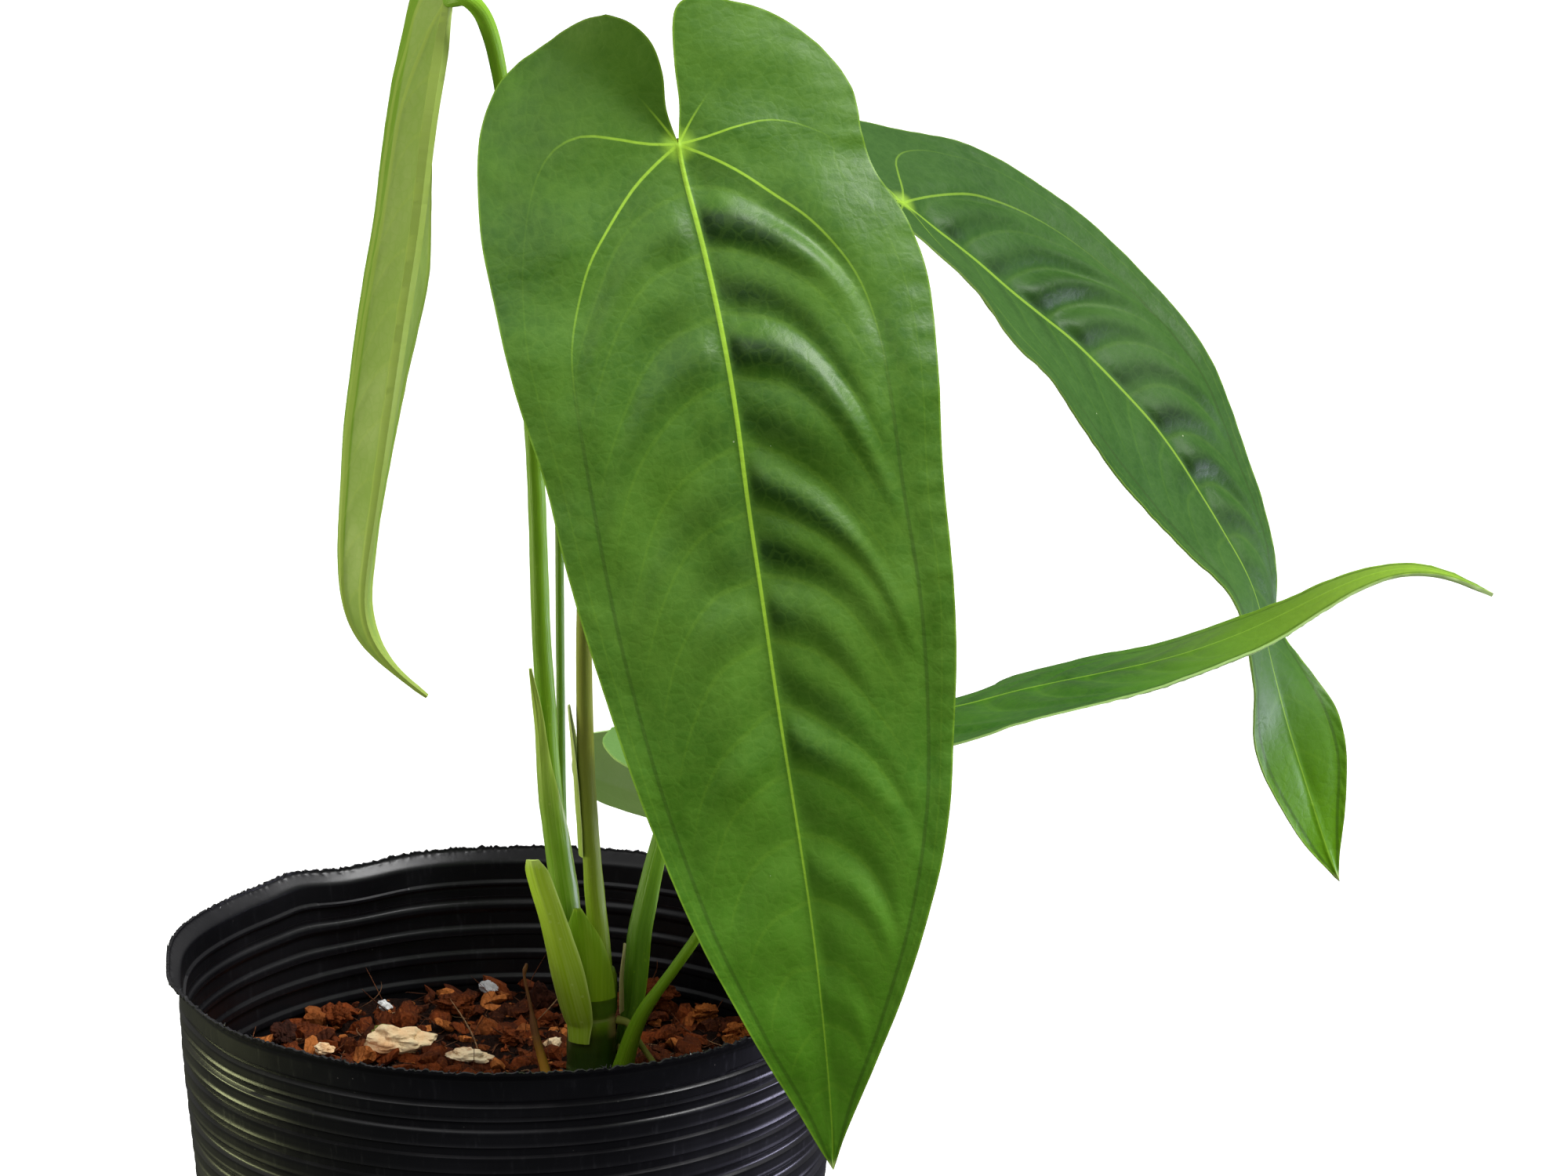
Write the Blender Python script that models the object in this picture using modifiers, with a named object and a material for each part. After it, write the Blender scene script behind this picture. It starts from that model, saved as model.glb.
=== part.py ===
"""Potted anthurium: a ribbed nursery pot filled with coco husk mix, and a young long-leaved anthurium in it.

The origin is the centre of the pot's flat bottom, +Z is up and -Y is the side that the widest leaf hangs on.
The plant is laid out in millimetres from a point MIX_LEVEL under the centre of the mix's surface, so that it
stands in the mix whatever the pot's height is.
"""

import math
import random

import bmesh
import bpy
import numpy as np
from mathutils import Vector

MM = 0.001

# Driving dimensions, in millimetres.
GAP = 0.3  # between a piece and the one that it rests on or that holds it

POT_HEIGHT = 131.5
POT_RIM_RADIUS = 75.0
POT_BASE_RADIUS = 62.0
POT_WALL = 0.7
POT_LIP_OUT = 2.3
POT_LIP_HEIGHT = 2.4
POT_BAND_HEIGHT = 7.0
POT_RIB_PITCH = 5.8
POT_RIB_DEPTH = 0.5
POT_SIDES = 28
DRAIN_HOLES = 8
DRAIN_RADIUS = 5.0
DRAIN_CIRCLE_SHARE = 0.7

MIX_DROP = 32.5  # from the rim down to the mix
MIX_CLEARANCE = 0.6  # beside the pot's ribs
MIX_LEVEL = 4.0  # the mix's height in the plant's own measure

STEM_X = 17.5
STEM_Y = 3.0
STEM_RADIUS = 5.8
STEM_HEIGHT = 32.0
STEM_BURIED = 14.0

BLADE_THICKNESS = 0.6
SHEATH_THICKNESS = 0.5
SHEATH_CLEARANCE = 0.4  # round a petiole
PETIOLE_FRONT_RADII = (2.0, 1.6, 1.4)
PETIOLE_LEFT_RADII = (2.3, 1.9, 1.6)
PETIOLE_REAR_RADII = (1.2, 0.9, 0.9)
PETIOLE_RIGHT_RADII = (2.4, 1.1, 1.0)
ROOT_RADIUS = 0.7

BLADE_COLUMNS = 6  # on each side of the midrib
BLADE_ROWS = 16
SMOOTH_ANGLE = math.radians(40)

MIX_TOP = POT_HEIGHT - MIX_DROP
PLANT_FOOT = MIX_TOP - MIX_LEVEL

PARTS = "potted_anthurium"
CUTTERS = "cutters"


# Each blade hangs on a spine, a line of points along its midrib, and its two halves are flat outlines, as
# (distance along the midrib from where the petiole joins, distance out from it). "ways" are the ways that
# a half leaves the midrib, at distances along it, and "curl" is how fast it bends on from there towards its
# upper face, in degrees a millimetre.
BLADES = {
    "blade_front": {
        "spine": [
            (36.5, -42, 252), (38.6, -50, 222.3), (41.8, -58, 211), (45.7, -64, 196), (49.6, -70, 176.7),
            (52.7, -75, 154), (55.7, -79, 134.4), (58.4, -82, 116), (61.9, -85, 94.3), (65, -87, 73.7),
            (67.4, -88, 52.6), (69.1, -86, 31.8), (69.6, -84, 18.8),
        ],
        "junction": 1,
        "plus": {
            "sinus": [(0, 0), (-8, 0.9), (-16, 0.5), (-24, 0.6), (-28, 2), (-30, 6)],
            "margin": [
                (-30, 6), (-28.5, 12), (-26, 20.5), (-19, 30), (-9, 36), (4, 36.7), (14, 37.5), (24, 41),
                (36, 42.5), (55, 40.5), (72, 39), (103, 37), (127, 32.8), (143, 28.6), (157, 23),
                (171, 16.8), (186, 9.4), (200, 3), (209, 0),
            ],
            "ways": [
                (-30, (0.97, 0.22, 0)), (0, (0.99, -0.06, 0)), (40, (0.99, -0.13, 0)), (209, (0.98, -0.17, 0)),
            ],
            "curl": [(-30, -0.5), (0, -0.5), (100, -0.4), (209, -0.6)],
        },
        "minus": {
            "sinus": [(0, 0), (-7, 2.2), (-14, 2.8), (-19, 4.2), (-24, 7.5), (-26, 11.5)],
            "margin": [
                (-26, 11.5), (-25, 17), (-22.5, 25), (-17, 35), (-8, 39), (2, 41), (12, 42.7), (30, 43),
                (47, 42), (65, 39), (90, 36), (117, 31.5), (140, 27), (158, 22), (176, 15), (193, 7.5),
                (203, 3), (209, 0),
            ],
            "ways": [
                (-30, (-0.98, 0.18, 0)), (0, (-0.99, -0.06, 0)), (40, (-0.99, -0.13, 0)), (209, (-0.98, -0.17, 0)),
            ],
            "curl": [(-30, -0.9), (0, -0.4), (100, -0.3), (209, -0.5)],
        },
    },
    "blade_left": {
        "spine": [
            (-5.5, 6, 262), (-9.8, 0.5, 243.5), (-11.6, -4, 231.4), (-13.7, -8, 219), (-16.4, -12, 196.8),
            (-19.1, -14, 180.7), (-22.3, -16, 161), (-25.7, -18, 139.8), (-28.2, -18, 124.6),
            (-28.4, -18, 114.4), (-23.2, -18, 105.8), (-15.5, -18, 99.3),
        ],
        "junction": 1,
        "plus": {
            "sinus": [(0, 0), (-6, 0.8), (-12, 1.8), (-17, 4)],
            "margin": [
                (-17, 4), (-16, 8), (-10, 11), (0, 12.5), (15, 13.5), (40, 14), (70, 14), (95, 12.5),
                (115, 9.5), (130, 5.5), (142, 2), (152, 0),
            ],
            "ways": [
                (-20, (-0.62, 0.78, 0)), (60, (-0.66, 0.75, 0)), (110, (-0.7, 0.71, 0)), (152, (-0.8, 0.6, 0)),
            ],
            "curl": [(-20, -0.4), (152, -0.4)],
        },
        "minus": {
            "sinus": [(0, 0), (-6, 0.8), (-12, 1.8), (-17, 4)],
            "margin": [
                (-17, 4), (-16, 8), (-10, 11), (0, 12.5), (15, 13.5), (40, 14), (70, 14), (95, 12.5),
                (115, 9.5), (130, 5.5), (142, 2), (152, 0),
            ],
            "ways": [
                (-20, (-0.02, 1, 0)), (30, (0.03, 1, 0)), (58, (0.24, 0.97, 0)), (80, (0.14, 0.99, 0)),
                (110, (0.05, 1, 0)), (152, (0.2, 0.9, 0)),
            ],
            "curl": [(-20, 0.3), (58, 0), (152, 0.2)],
        },
    },
    "blade_rear": {
        "spine": [
            (66, 28, 206), (84.9, 30, 195.3), (92.3, 31, 189.8), (99.2, 33, 184.4), (111.1, 36, 173.4),
            (122.6, 37.5, 164.1), (132, 38, 154.5), (142.1, 37, 143.5), (150.6, 35, 130.9),
            (158.2, 31, 118.7), (162.9, 27, 110), (165.4, 23, 98.1), (169.7, 21, 81.4), (175.1, 20, 65),
            (179, 20, 53), (182.1, 20, 45.8),
        ],
        "junction": 1,
        "plus": {
            "sinus": [(0, 0), (-8, 1), (-16, 2), (-23, 6)],
            "margin": [
                (-23, 6), (-22, 14), (-15, 25), (-3, 32), (14, 36), (36, 37), (60, 33.5), (80, 27.5),
                (100, 21), (122, 14.5), (140, 12.5), (150, 11.6), (160, 9), (172, 5), (182, 1.4), (187, 0),
            ],
            "ways": [
                (-25, (0.28, 0.95, 0.2)), (0, (0.3, 0.92, 0.27)), (35, (0.36, 0.8, 0.47)),
                (75, (0.43, 0.75, 0.5)),
                (100, (0.42, 0.85, 0.25)), (120, (0.22, 0.97, 0.1)), (129, (0.2, 0.97, 0.1)),
                (138, (0.55, 0.83, 0.1)), (149, (0.9, 0.4, 0.2)), (187, (0.95, 0.2, 0.2)),
            ],
            "curl": [(-25, -0.3), (60, -0.4), (130, 0), (187, 0)],
        },
        "minus": {
            "sinus": [(0, 0), (-8, 1), (-16, 2), (-23, 6)],
            "margin": [
                (-23, 6), (-22, 14), (-15, 25), (-3, 32), (14, 36), (36, 37), (60, 33.5), (80, 27.5),
                (100, 21), (122, 14.5), (140, 11), (150, 9.5), (160, 8), (172, 5), (182, 1.4), (187, 0),
            ],
            "ways": [
                (-25, (-0.1, -0.98, 0.1)), (0, (-0.14, -0.98, 0.06)), (35, (-0.22, -0.96, -0.02)),
                (60, (-0.34, -0.9, -0.1)), (87, (-0.4, -0.86, -0.16)), (106, (-0.43, -0.87, -0.12)),
                (120, (-0.36, -0.93, 0)), (129, (-0.3, -0.95, 0)), (138, (-0.4, -0.9, 0)),
                (149, (-0.75, -0.62, 0)), (187, (-0.9, -0.4, -0.1)),
            ],
            "curl": [(-25, 0.2), (60, 0.2), (130, 0), (187, 0)],
        },
    },
    "blade_right": {
        "spine": [
            (20, -1, 90), (47, -3, 86.5), (59.6, -7, 89), (76.1, -12, 93), (95.9, -17, 97),
            (107.4, -18, 100.7),
            (125.5, -18, 104.6), (141.9, -18, 108.4), (158.2, -18, 114.4), (174.2, -20, 123.1),
            (186.9, -22, 128.4), (198.1, -24, 127.9), (207, -26, 123.9),
        ],
        "junction": 1,
        "plus": {
            "sinus": [(0, 0), (-9, 0.8), (-18, 1.6), (-26, 5)],
            "margin": [
                (-26, 5), (-28.5, 12), (-25, 18), (-14, 22), (0, 25), (20, 28), (45, 28), (70, 25),
                (95, 20), (115, 14.5), (132, 8.5), (146, 4), (158, 1.8), (170, 0),
            ],
            "ways": [
                (-30, (0, 0.3, -0.95)), (-5, (0, 0.4, -0.91)), (18, (0, 0.67, -0.74)), (42, (0, 0.95, -0.3)),
                (62, (0, 0.98, -0.2)), (110, (0, 1, -0.08)), (150, (0, 0.99, 0.1)), (170, (0, 0.98, 0.2)),
            ],
            "curl": [(-30, -0.2), (20, -0.6), (60, 0), (170, 0)],
        },
        "minus": {
            "sinus": [(0, 0), (-9, 0.8), (-18, 1.6), (-24, 5)],
            "margin": [
                (-24, 5), (-25, 13), (-20, 21), (-10, 26), (2, 28.5), (20, 29), (45, 28), (70, 25),
                (95, 20), (115, 14.5), (132, 8.5), (146, 4), (158, 1.8), (170, 0),
            ],
            "ways": [
                (-30, (0, -0.99, -0.1)), (60, (0, -0.99, -0.1)), (110, (0, -0.99, -0.12)), (170, (0, -0.98, -0.1)),
            ],
            "curl": [(-30, -0.3), (60, 0.4), (110, 0.8), (170, 0)],
        },
    },
}


def spline_point(points, t):
    """A point on the smooth line through the points, where t counts points from the first."""
    last = len(points) - 1
    i = min(max(int(t), 0), last - 1)
    f = t - i
    b = np.array(points[i], float)
    c = np.array(points[i + 1], float)
    a = np.array(points[i - 1], float) if i > 0 else 2 * b - c
    d = np.array(points[i + 2], float) if i + 2 <= last else 2 * c - b
    return b + 0.5 * f * (c - a + f * (2 * a - 5 * b + 4 * c - d + f * (3 * (b - c) + d - a)))


def smooth_line(points, count):
    """The smooth line through the points as this many points, evenly apart."""
    fine = np.array([spline_point(points, t) for t in np.linspace(0, len(points) - 1, 20 * len(points))])
    run = np.concatenate([[0], np.cumsum(np.linalg.norm(np.diff(fine, axis=0), axis=1))])
    even = np.linspace(0, run[-1], count)
    return np.stack([np.interp(even, run, fine[:, k]) for k in range(fine.shape[1])], axis=1)


def unit(vector):
    return vector / np.linalg.norm(vector)


def stations(rows, at):
    """The value at a distance, from rows of (distance, value)."""
    return np.interp(at, [row[0] for row in rows], [row[1] for row in rows])


class Spine:
    """A blade's midrib, by distance along it from where the petiole joins."""

    def __init__(self, points, junction):
        t = np.linspace(0, len(points) - 1, 20 * len(points))
        self.line = np.array([spline_point(points, value) for value in t])
        run = np.concatenate([[0], np.cumsum(np.linalg.norm(np.diff(self.line, axis=0), axis=1))])
        self.run = run - np.interp(junction, t, run)
        self.headings = np.gradient(self.line, self.run, axis=0)
        self.length = self.run[-1]

    def place(self, s):
        """The place and heading there, straight on past the midrib's ends."""
        place = np.array([np.interp(s, self.run, self.line[:, k]) for k in range(3)])
        along = unit(np.array([np.interp(s, self.run, self.headings[:, k]) for k in range(3)]))
        beyond = min(s - self.run[0], 0) + max(s - self.run[-1], 0)
        return place + along * beyond, along


def coons(half, length, u, v):
    """A point of a flat half blade: u runs from midrib to margin, v from the sinus to the tip."""
    tip = np.array([length, 0.0])
    crest = np.array(half["margin"][0], float)
    midrib = np.array([length * v**1.5, 0.0])
    margin = half["margin_line"](v)
    sinus = half["sinus_line"](u)
    patch = (1 - u) * midrib + u * margin + (1 - v) * sinus + v * tip
    return patch - (u * (1 - v) * crest + v * tip)


def even_line(points):
    """A function from 0..1 to an even walk along the smooth line through the points."""
    line = smooth_line(points, 200)
    share = np.linspace(0, 1, len(line))
    return lambda at: np.array([np.interp(at, share, line[:, k]) for k in range(line.shape[1])])


class Blade:
    """A blade's surface in space, worked out from its spine and its two halves."""

    def __init__(self, row):
        self.spine = Spine(row["spine"], row["junction"])
        self.halves = {1: dict(row["plus"]), -1: dict(row["minus"])}
        for half in self.halves.values():
            stretch = self.spine.length / half["margin"][-1][0]
            half["margin"] = [(s * stretch if s > 0 else s, t) for s, t in half["margin"]]
            half["margin_line"] = even_line(half["margin"])
            half["sinus_line"] = even_line(half["sinus"])

    def way(self, side, s, along):
        ways = self.halves[side]["ways"]
        hint = np.array([stations([(at, way[k]) for at, way in ways], s) for k in range(3)])
        return unit(hint - along * np.dot(hint, along))

    def point(self, x, v):
        """The surface, for x from -1 at one margin to 1 at the other and v from the sinus to the tip."""
        side = 1 if x >= 0 else -1
        half = self.halves[side]
        s, t = coons(half, self.spine.length, abs(x), v)
        place, along = self.spine.place(s)
        out = self.way(side, s, along)
        up = side * np.cross(along, out)
        bend = math.radians(stations(half["curl"], s)) * t
        chord = t * (math.sin(bend / 2) / (bend / 2) if abs(bend) > 1e-6 else 1.0)
        return place + chord * (math.cos(bend / 2) * out + math.sin(bend / 2) * up)

    def under_junction(self, depth):
        """A point this far below the lower face, and its gap, where the petiole joins."""
        place, along = self.spine.place(0.0)
        across = unit(self.way(1, 0.0, along) - self.way(-1, 0.0, along))
        up = np.cross(along, across)
        return tuple(place - up * (BLADE_THICKNESS / 2 + GAP + depth))


def collection_of(name):
    made = bpy.data.collections.new(name)
    bpy.context.scene.collection.children.link(made)
    return made


def material_of(name, colour, roughness, metallic=0.0):
    made = bpy.data.materials.new(name)
    made.use_nodes = True
    shader = made.node_tree.nodes["Principled BSDF"]
    shader.inputs["Base Color"].default_value = (*colour, 1.0)
    shader.inputs["Roughness"].default_value = roughness
    shader.inputs["Metallic"].default_value = metallic
    return made


def object_of(name, data, material, collection=PARTS):
    made = bpy.data.objects.new(name, data)
    bpy.data.collections[collection].objects.link(made)
    if material is not None:
        data.materials.append(material)
    return made


def mesh_object(name, bm, material, smooth=True):
    mesh = bpy.data.meshes.new(name)
    bm.to_mesh(mesh)
    bm.free()
    made = object_of(name, mesh, material)
    if smooth:
        mesh.shade_smooth()
        mesh.set_sharp_from_angle(angle=SMOOTH_ANGLE)
    return made


def solidify(obj, thickness, offset):
    shell = obj.modifiers.new("thickness", "SOLIDIFY")
    shell.thickness = thickness * MM
    shell.offset = offset
    shell.use_even_offset = offset != 0


def cut(obj, cutter):
    cutter.hide_render = True
    cutter.display_type = "WIRE"
    hole = obj.modifiers.new("hole", "BOOLEAN")
    hole.operation = "DIFFERENCE"
    hole.object = cutter


def cylinder_cutter(name, radius, low, high, x=0.0, y=0.0, sides=18):
    bm = bmesh.new()
    bmesh.ops.create_cone(
        bm, cap_ends=True, segments=sides, radius1=radius * MM, radius2=radius * MM, depth=(high - low) * MM
    )
    bmesh.ops.translate(bm, verts=bm.verts, vec=Vector((x, y, (low + high) / 2)) * MM)
    mesh = bpy.data.meshes.new(name)
    bm.to_mesh(mesh)
    bm.free()
    return object_of(name, mesh, None, CUTTERS)


def turned(name, profile, material, sides, x=0.0, y=0.0):
    """A profile of (radius, height), listed from the top down its outer side, turned about the Z axis."""
    mesh = bpy.data.meshes.new(name)
    points = [(radius * MM, 0.0, height * MM) for radius, height in profile]
    mesh.from_pydata(points, [(i, i + 1) for i in range(len(points) - 1)], [])
    made = object_of(name, mesh, material)
    made.location = Vector((x, y, 0)) * MM
    screw = made.modifiers.new("turn", "SCREW")
    screw.steps = sides
    screw.render_steps = sides
    screw.use_merge_vertices = True
    screw.merge_threshold = 0.00001
    screw.use_smooth_shade = True
    return made


def tube(name, points, radii, material, count=14):
    """A round stem along the smooth line through the points (in plant millimetres), tapered by its radii."""
    line = smooth_line(points, count)
    curve = bpy.data.curves.new(name, "CURVE")
    curve.dimensions = "3D"
    curve.bevel_depth = radii[0] * MM
    curve.bevel_resolution = 2
    curve.use_fill_caps = True
    spline = curve.splines.new("POLY")
    spline.points.add(count - 1)
    shares = np.linspace(0, 1, len(radii))
    for i, (point, share) in enumerate(zip(spline.points, np.linspace(0, 1, count))):
        point.co = (*(Vector(line[i]) * MM), 1.0)
        point.radius = np.interp(share, shares, radii) / radii[0]
    spline.use_smooth = True
    made = object_of(name, curve, material)
    made.location.z = PLANT_FOOT * MM
    return made


def wall_radius(z):
    """The pot's outer radius between its ribs' grooves, at a height."""
    top = POT_RIM_RADIUS - POT_LIP_OUT
    return POT_BASE_RADIUS + (top - POT_BASE_RADIUS) * z / POT_HEIGHT


def pot(material):
    """A thin ribbed wall with a flat base, turned from its inner and outer lines, with holes to drain."""
    rim_foot = POT_HEIGHT - POT_LIP_HEIGHT
    outer = [
        (POT_RIM_RADIUS, POT_HEIGHT),
        (POT_RIM_RADIUS - POT_LIP_OUT / 3, rim_foot),
        (wall_radius(rim_foot), rim_foot - POT_LIP_OUT / 2),
    ]
    z = POT_HEIGHT - POT_BAND_HEIGHT - POT_LIP_HEIGHT
    while z > 2 * POT_RIB_PITCH:
        outer.append((wall_radius(z), z))
        outer.append((wall_radius(z) - POT_RIB_DEPTH, z - POT_RIB_PITCH / 3))
        z -= POT_RIB_PITCH
    outer.append((POT_BASE_RADIUS, 0.0))
    inner = [(radius - POT_WALL, max(height, POT_WALL)) for radius, height in reversed(outer)]
    made = turned("pot", [(0.0, POT_WALL), *inner, *outer, (0.0, 0.0)], material, POT_SIDES)
    for i in range(DRAIN_HOLES):
        angle = 2 * math.pi * (i + 0.5) / DRAIN_HOLES
        circle = POT_BASE_RADIUS * DRAIN_CIRCLE_SHARE
        x = circle * math.cos(angle)
        y = circle * math.sin(angle)
        cut(made, cylinder_cutter(f"drain_{i}", DRAIN_RADIUS, -POT_WALL, 2 * POT_WALL, x, y))
    return made


def mix_radius(z):
    return wall_radius(z) - POT_RIB_DEPTH - POT_WALL - MIX_CLEARANCE


def potting_mix(material):
    foot = POT_WALL + GAP
    shoulder = MIX_TOP - 1.5
    profile = [
        (0.0, MIX_TOP), (mix_radius(MIX_TOP) - 2, MIX_TOP), (mix_radius(shoulder), shoulder),
        (mix_radius(foot) - 1.0, foot), (0.0, foot),
    ]
    made = turned("potting_mix", profile, material, POT_SIDES)
    hole = cylinder_cutter(
        "stem_hole", STEM_RADIUS + GAP, PLANT_FOOT - STEM_BURIED - GAP, MIX_TOP + 5, STEM_X, STEM_Y, 24
    )
    cut(made, hole)
    return made


def stem(material):
    """A short stem of three nodes, each swollen at its ring."""
    radius = STEM_RADIUS
    profile = [
        (0.0, STEM_HEIGHT), (radius * 0.8, STEM_HEIGHT), (radius * 0.98, STEM_HEIGHT - 2),
        (radius, STEM_HEIGHT * 0.75), (radius * 0.92, STEM_HEIGHT * 0.66),
        (radius * 0.97, STEM_HEIGHT * 0.58),
        (radius * 0.95, STEM_HEIGHT * 0.36), (radius, STEM_HEIGHT * 0.3), (radius * 0.93, 0.0),
        (radius * 0.7, -STEM_BURIED), (0.0, -STEM_BURIED),
    ]
    made = turned("stem", [(r, z + PLANT_FOOT) for r, z in profile], material, 24, STEM_X, STEM_Y)
    return made


def beside_stem(degrees, height, clearance):
    """A point this far out of the stem's side, in plant millimetres."""
    out = STEM_RADIUS + GAP + clearance
    angle = math.radians(degrees)
    return (STEM_X + out * math.cos(angle), STEM_Y + out * math.sin(angle), height)


def on_stem(share_x, share_y, height=0.0):
    """A point over the stem's top, at shares of its radius."""
    return (STEM_X + share_x * STEM_RADIUS, STEM_Y + share_y * STEM_RADIUS, STEM_HEIGHT + GAP + height)


def under_blade(name, depth):
    """A point under the place where a blade's petiole joins it, this far below the usual gap."""
    return Blade(BLADES[name]).under_junction(depth)


def between(route, low, high):
    """The stretch of a route between two heights, as points."""
    line = smooth_line(route, 60)
    return [tuple(point) for point in line if low <= point[2] <= high][::4]


PETIOLES = {
    "petiole_front": {
        "radii": PETIOLE_FRONT_RADII,
        "route": [
            on_stem(0.38, -0.43, 0.2), on_stem(0.38, -0.43, 3), (18.5, -0.5, 52), (17.3, -3, 76),
            (17.2, -8, 98),
            (17.6, -13, 118), (19.5, -22, 156), (24, -29, 186), (30, -35, 205), (35.5, -40.5, 214.5),
            under_blade("blade_front", 3), under_blade("blade_front", 0.2),
        ],
    },
    "petiole_left": {
        "radii": PETIOLE_LEFT_RADII,
        "route": [
            on_stem(-0.52, 0.32, 0.2), on_stem(-0.52, 0.32, 3), (10.8, 6, 58), (9.2, 6, 73), (8.4, 6, 90),
            (7.5, 5, 108), (6.8, 4, 143), (4.9, 2, 177), (2.5, 0, 211), (0.6, -1, 229), (-2, -3, 240),
            (-5.5, -5, 244.8), under_blade("blade_left", 3), under_blade("blade_left", 0.5),
        ],
    },
    "petiole_rear": {
        "radii": PETIOLE_REAR_RADII,
        "route": [
            beside_stem(112, 14, PETIOLE_REAR_RADII[0]), beside_stem(112, 20, PETIOLE_REAR_RADII[0]),
            (12.2, 13.5, 45), (11.1, 15, 60), (11, 17, 95), (11, 20, 121), (11.2, 22, 145), (13.5, 25, 168),
            (22, 27, 182), (40, 29, 188), (60, 30, 187), (74, 30.6, 187.5), under_blade("blade_rear", 3),
            under_blade("blade_rear", 0.2),
        ],
    },
    "petiole_right": {
        "radii": PETIOLE_RIGHT_RADII,
        "route": [
            beside_stem(-38, 5.5, PETIOLE_RIGHT_RADII[0]), beside_stem(-38, 9, PETIOLE_RIGHT_RADII[0]),
            (28.4, -5, 23), (36, -7, 35), (42.3, -7.5, 45), (47.5, -7.5, 58), (48.5, -7, 70),
            under_blade("blade_right", 4), under_blade("blade_right", 0.9),
        ],
    },
}


def blade(name, material):
    shape = Blade(BLADES[name])
    bm = bmesh.new()
    bmesh.ops.create_grid(bm, x_segments=2 * BLADE_COLUMNS, y_segments=BLADE_ROWS, size=1.0)
    for vertex in bm.verts:
        x, y = vertex.co.x, vertex.co.y
        vertex.co = Vector(shape.point(x, (y + 1) / 2)) * MM
    bmesh.ops.remove_doubles(bm, verts=bm.verts, dist=0.01 * MM)
    made = mesh_object(name, bm, material)
    made.location.z = PLANT_FOOT * MM
    solidify(made, BLADE_THICKNESS, 0)
    return made


def sheath(name, path, radii, facing, half_angles, material, columns=6, rows=10):
    """A bract that wraps a path: part of a tube of these inner radii, this many degrees to each side."""
    line = even_line(path)
    shares = np.linspace(0, 1, len(radii))
    angle_shares = np.linspace(0, 1, len(half_angles))
    bm = bmesh.new()
    bmesh.ops.create_grid(bm, x_segments=columns, y_segments=rows, size=1.0)
    for vertex in bm.verts:
        v = (vertex.co.y + 1) / 2
        along = unit(line(min(v + 0.01, 1)) - line(max(v - 0.01, 0)))
        front = unit(np.array(facing) - along * np.dot(facing, along))
        side = np.cross(along, front)
        angle = math.radians(vertex.co.x * np.interp(v, angle_shares, half_angles))
        radius = np.interp(v, shares, radii) + SHEATH_THICKNESS / 2
        place = line(v) + radius * (front * math.cos(angle) + side * math.sin(angle))
        vertex.co = Vector(place) * MM
    made = mesh_object(name, bm, material)
    made.location.z = PLANT_FOOT * MM
    solidify(made, SHEATH_THICKNESS, 0)
    return made


def sheaths(materials):
    """The thin bracts that wrap the stem's tip and the petioles' feet, the outer ones over the inner."""
    wrap = STEM_RADIUS + GAP
    outer = wrap + SHEATH_THICKNESS + GAP
    axis = (STEM_X, STEM_Y)
    sheath(
        "sheath_at_stem_tip", [(*axis, 26), (*axis, 36), (STEM_X - 1, STEM_Y - 0.8, 48)],
        (wrap, wrap, wrap), (-0.25, -1, 0), (75, 60, 40, 8), materials["sheath_green"],
    )
    sheath(
        "cataphyll_left",
        [
            (*axis, 16), (*axis, 22), (15.3, 0.6, 31), (12.8, -1, 40), (10.6, -2.2, 48), (8.6, -3, 55),
            (7.4, -3.6, 60.5),
        ],
        (wrap, outer, 5.8, 4.8, 4.4, 4.2), (-0.45, -0.9, 0), (24, 30, 36, 42, 42, 40, 38, 34, 14),
        materials["sheath_pale"],
    )
    left_clear = PETIOLE_LEFT_RADII[0] + SHEATH_CLEARANCE
    sheath(
        "cataphyll_on_left_petiole", between(PETIOLES["petiole_left"]["route"], 36, 100),
        (left_clear, left_clear, left_clear, left_clear, left_clear + 1.6), (-0.6, -0.8, 0),
        (95, 120, 110, 80, 45, 24, 5), materials["sheath_green"],
    )
    front_clear = PETIOLE_FRONT_RADII[0] + SHEATH_CLEARANCE
    sheath(
        "cataphyll_inner", between(PETIOLES["petiole_front"]["route"], 59, 94),
        (front_clear, front_clear, front_clear + 0.8), (-1, 0.1, 0), (50, 56, 52, 40, 10),
        materials["sheath_pale"], 6, 8,
    )
    sheath(
        "cataphyll_small", [(*axis, 22), (*axis, 30), (STEM_X + 0.6, STEM_Y, 38)],
        (outer, outer, outer), (1, -0.12, 0), (16, 17, 16, 12, 3), materials["sheath_dry"], 4, 6,
    )
    tall_width = 3.4
    sheath(
        "cataphyll_tall",
        [
            beside_stem(40, 8, tall_width + 0.6), beside_stem(39, 14, tall_width + 0.8), (27.4, 10.4, 22),
            (28.6, 12, 36), (30.2, 13.1, 44), (31.8, 14, 51), (34, 15.8, 60), (36.6, 17.8, 72),
        ],
        (tall_width, tall_width, tall_width - 0.4, tall_width - 1), (-0.35, -1, 0.1),
        (20, 34, 46, 52, 50, 46, 40, 30, 6), materials["sheath_dark"],
    )


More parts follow.
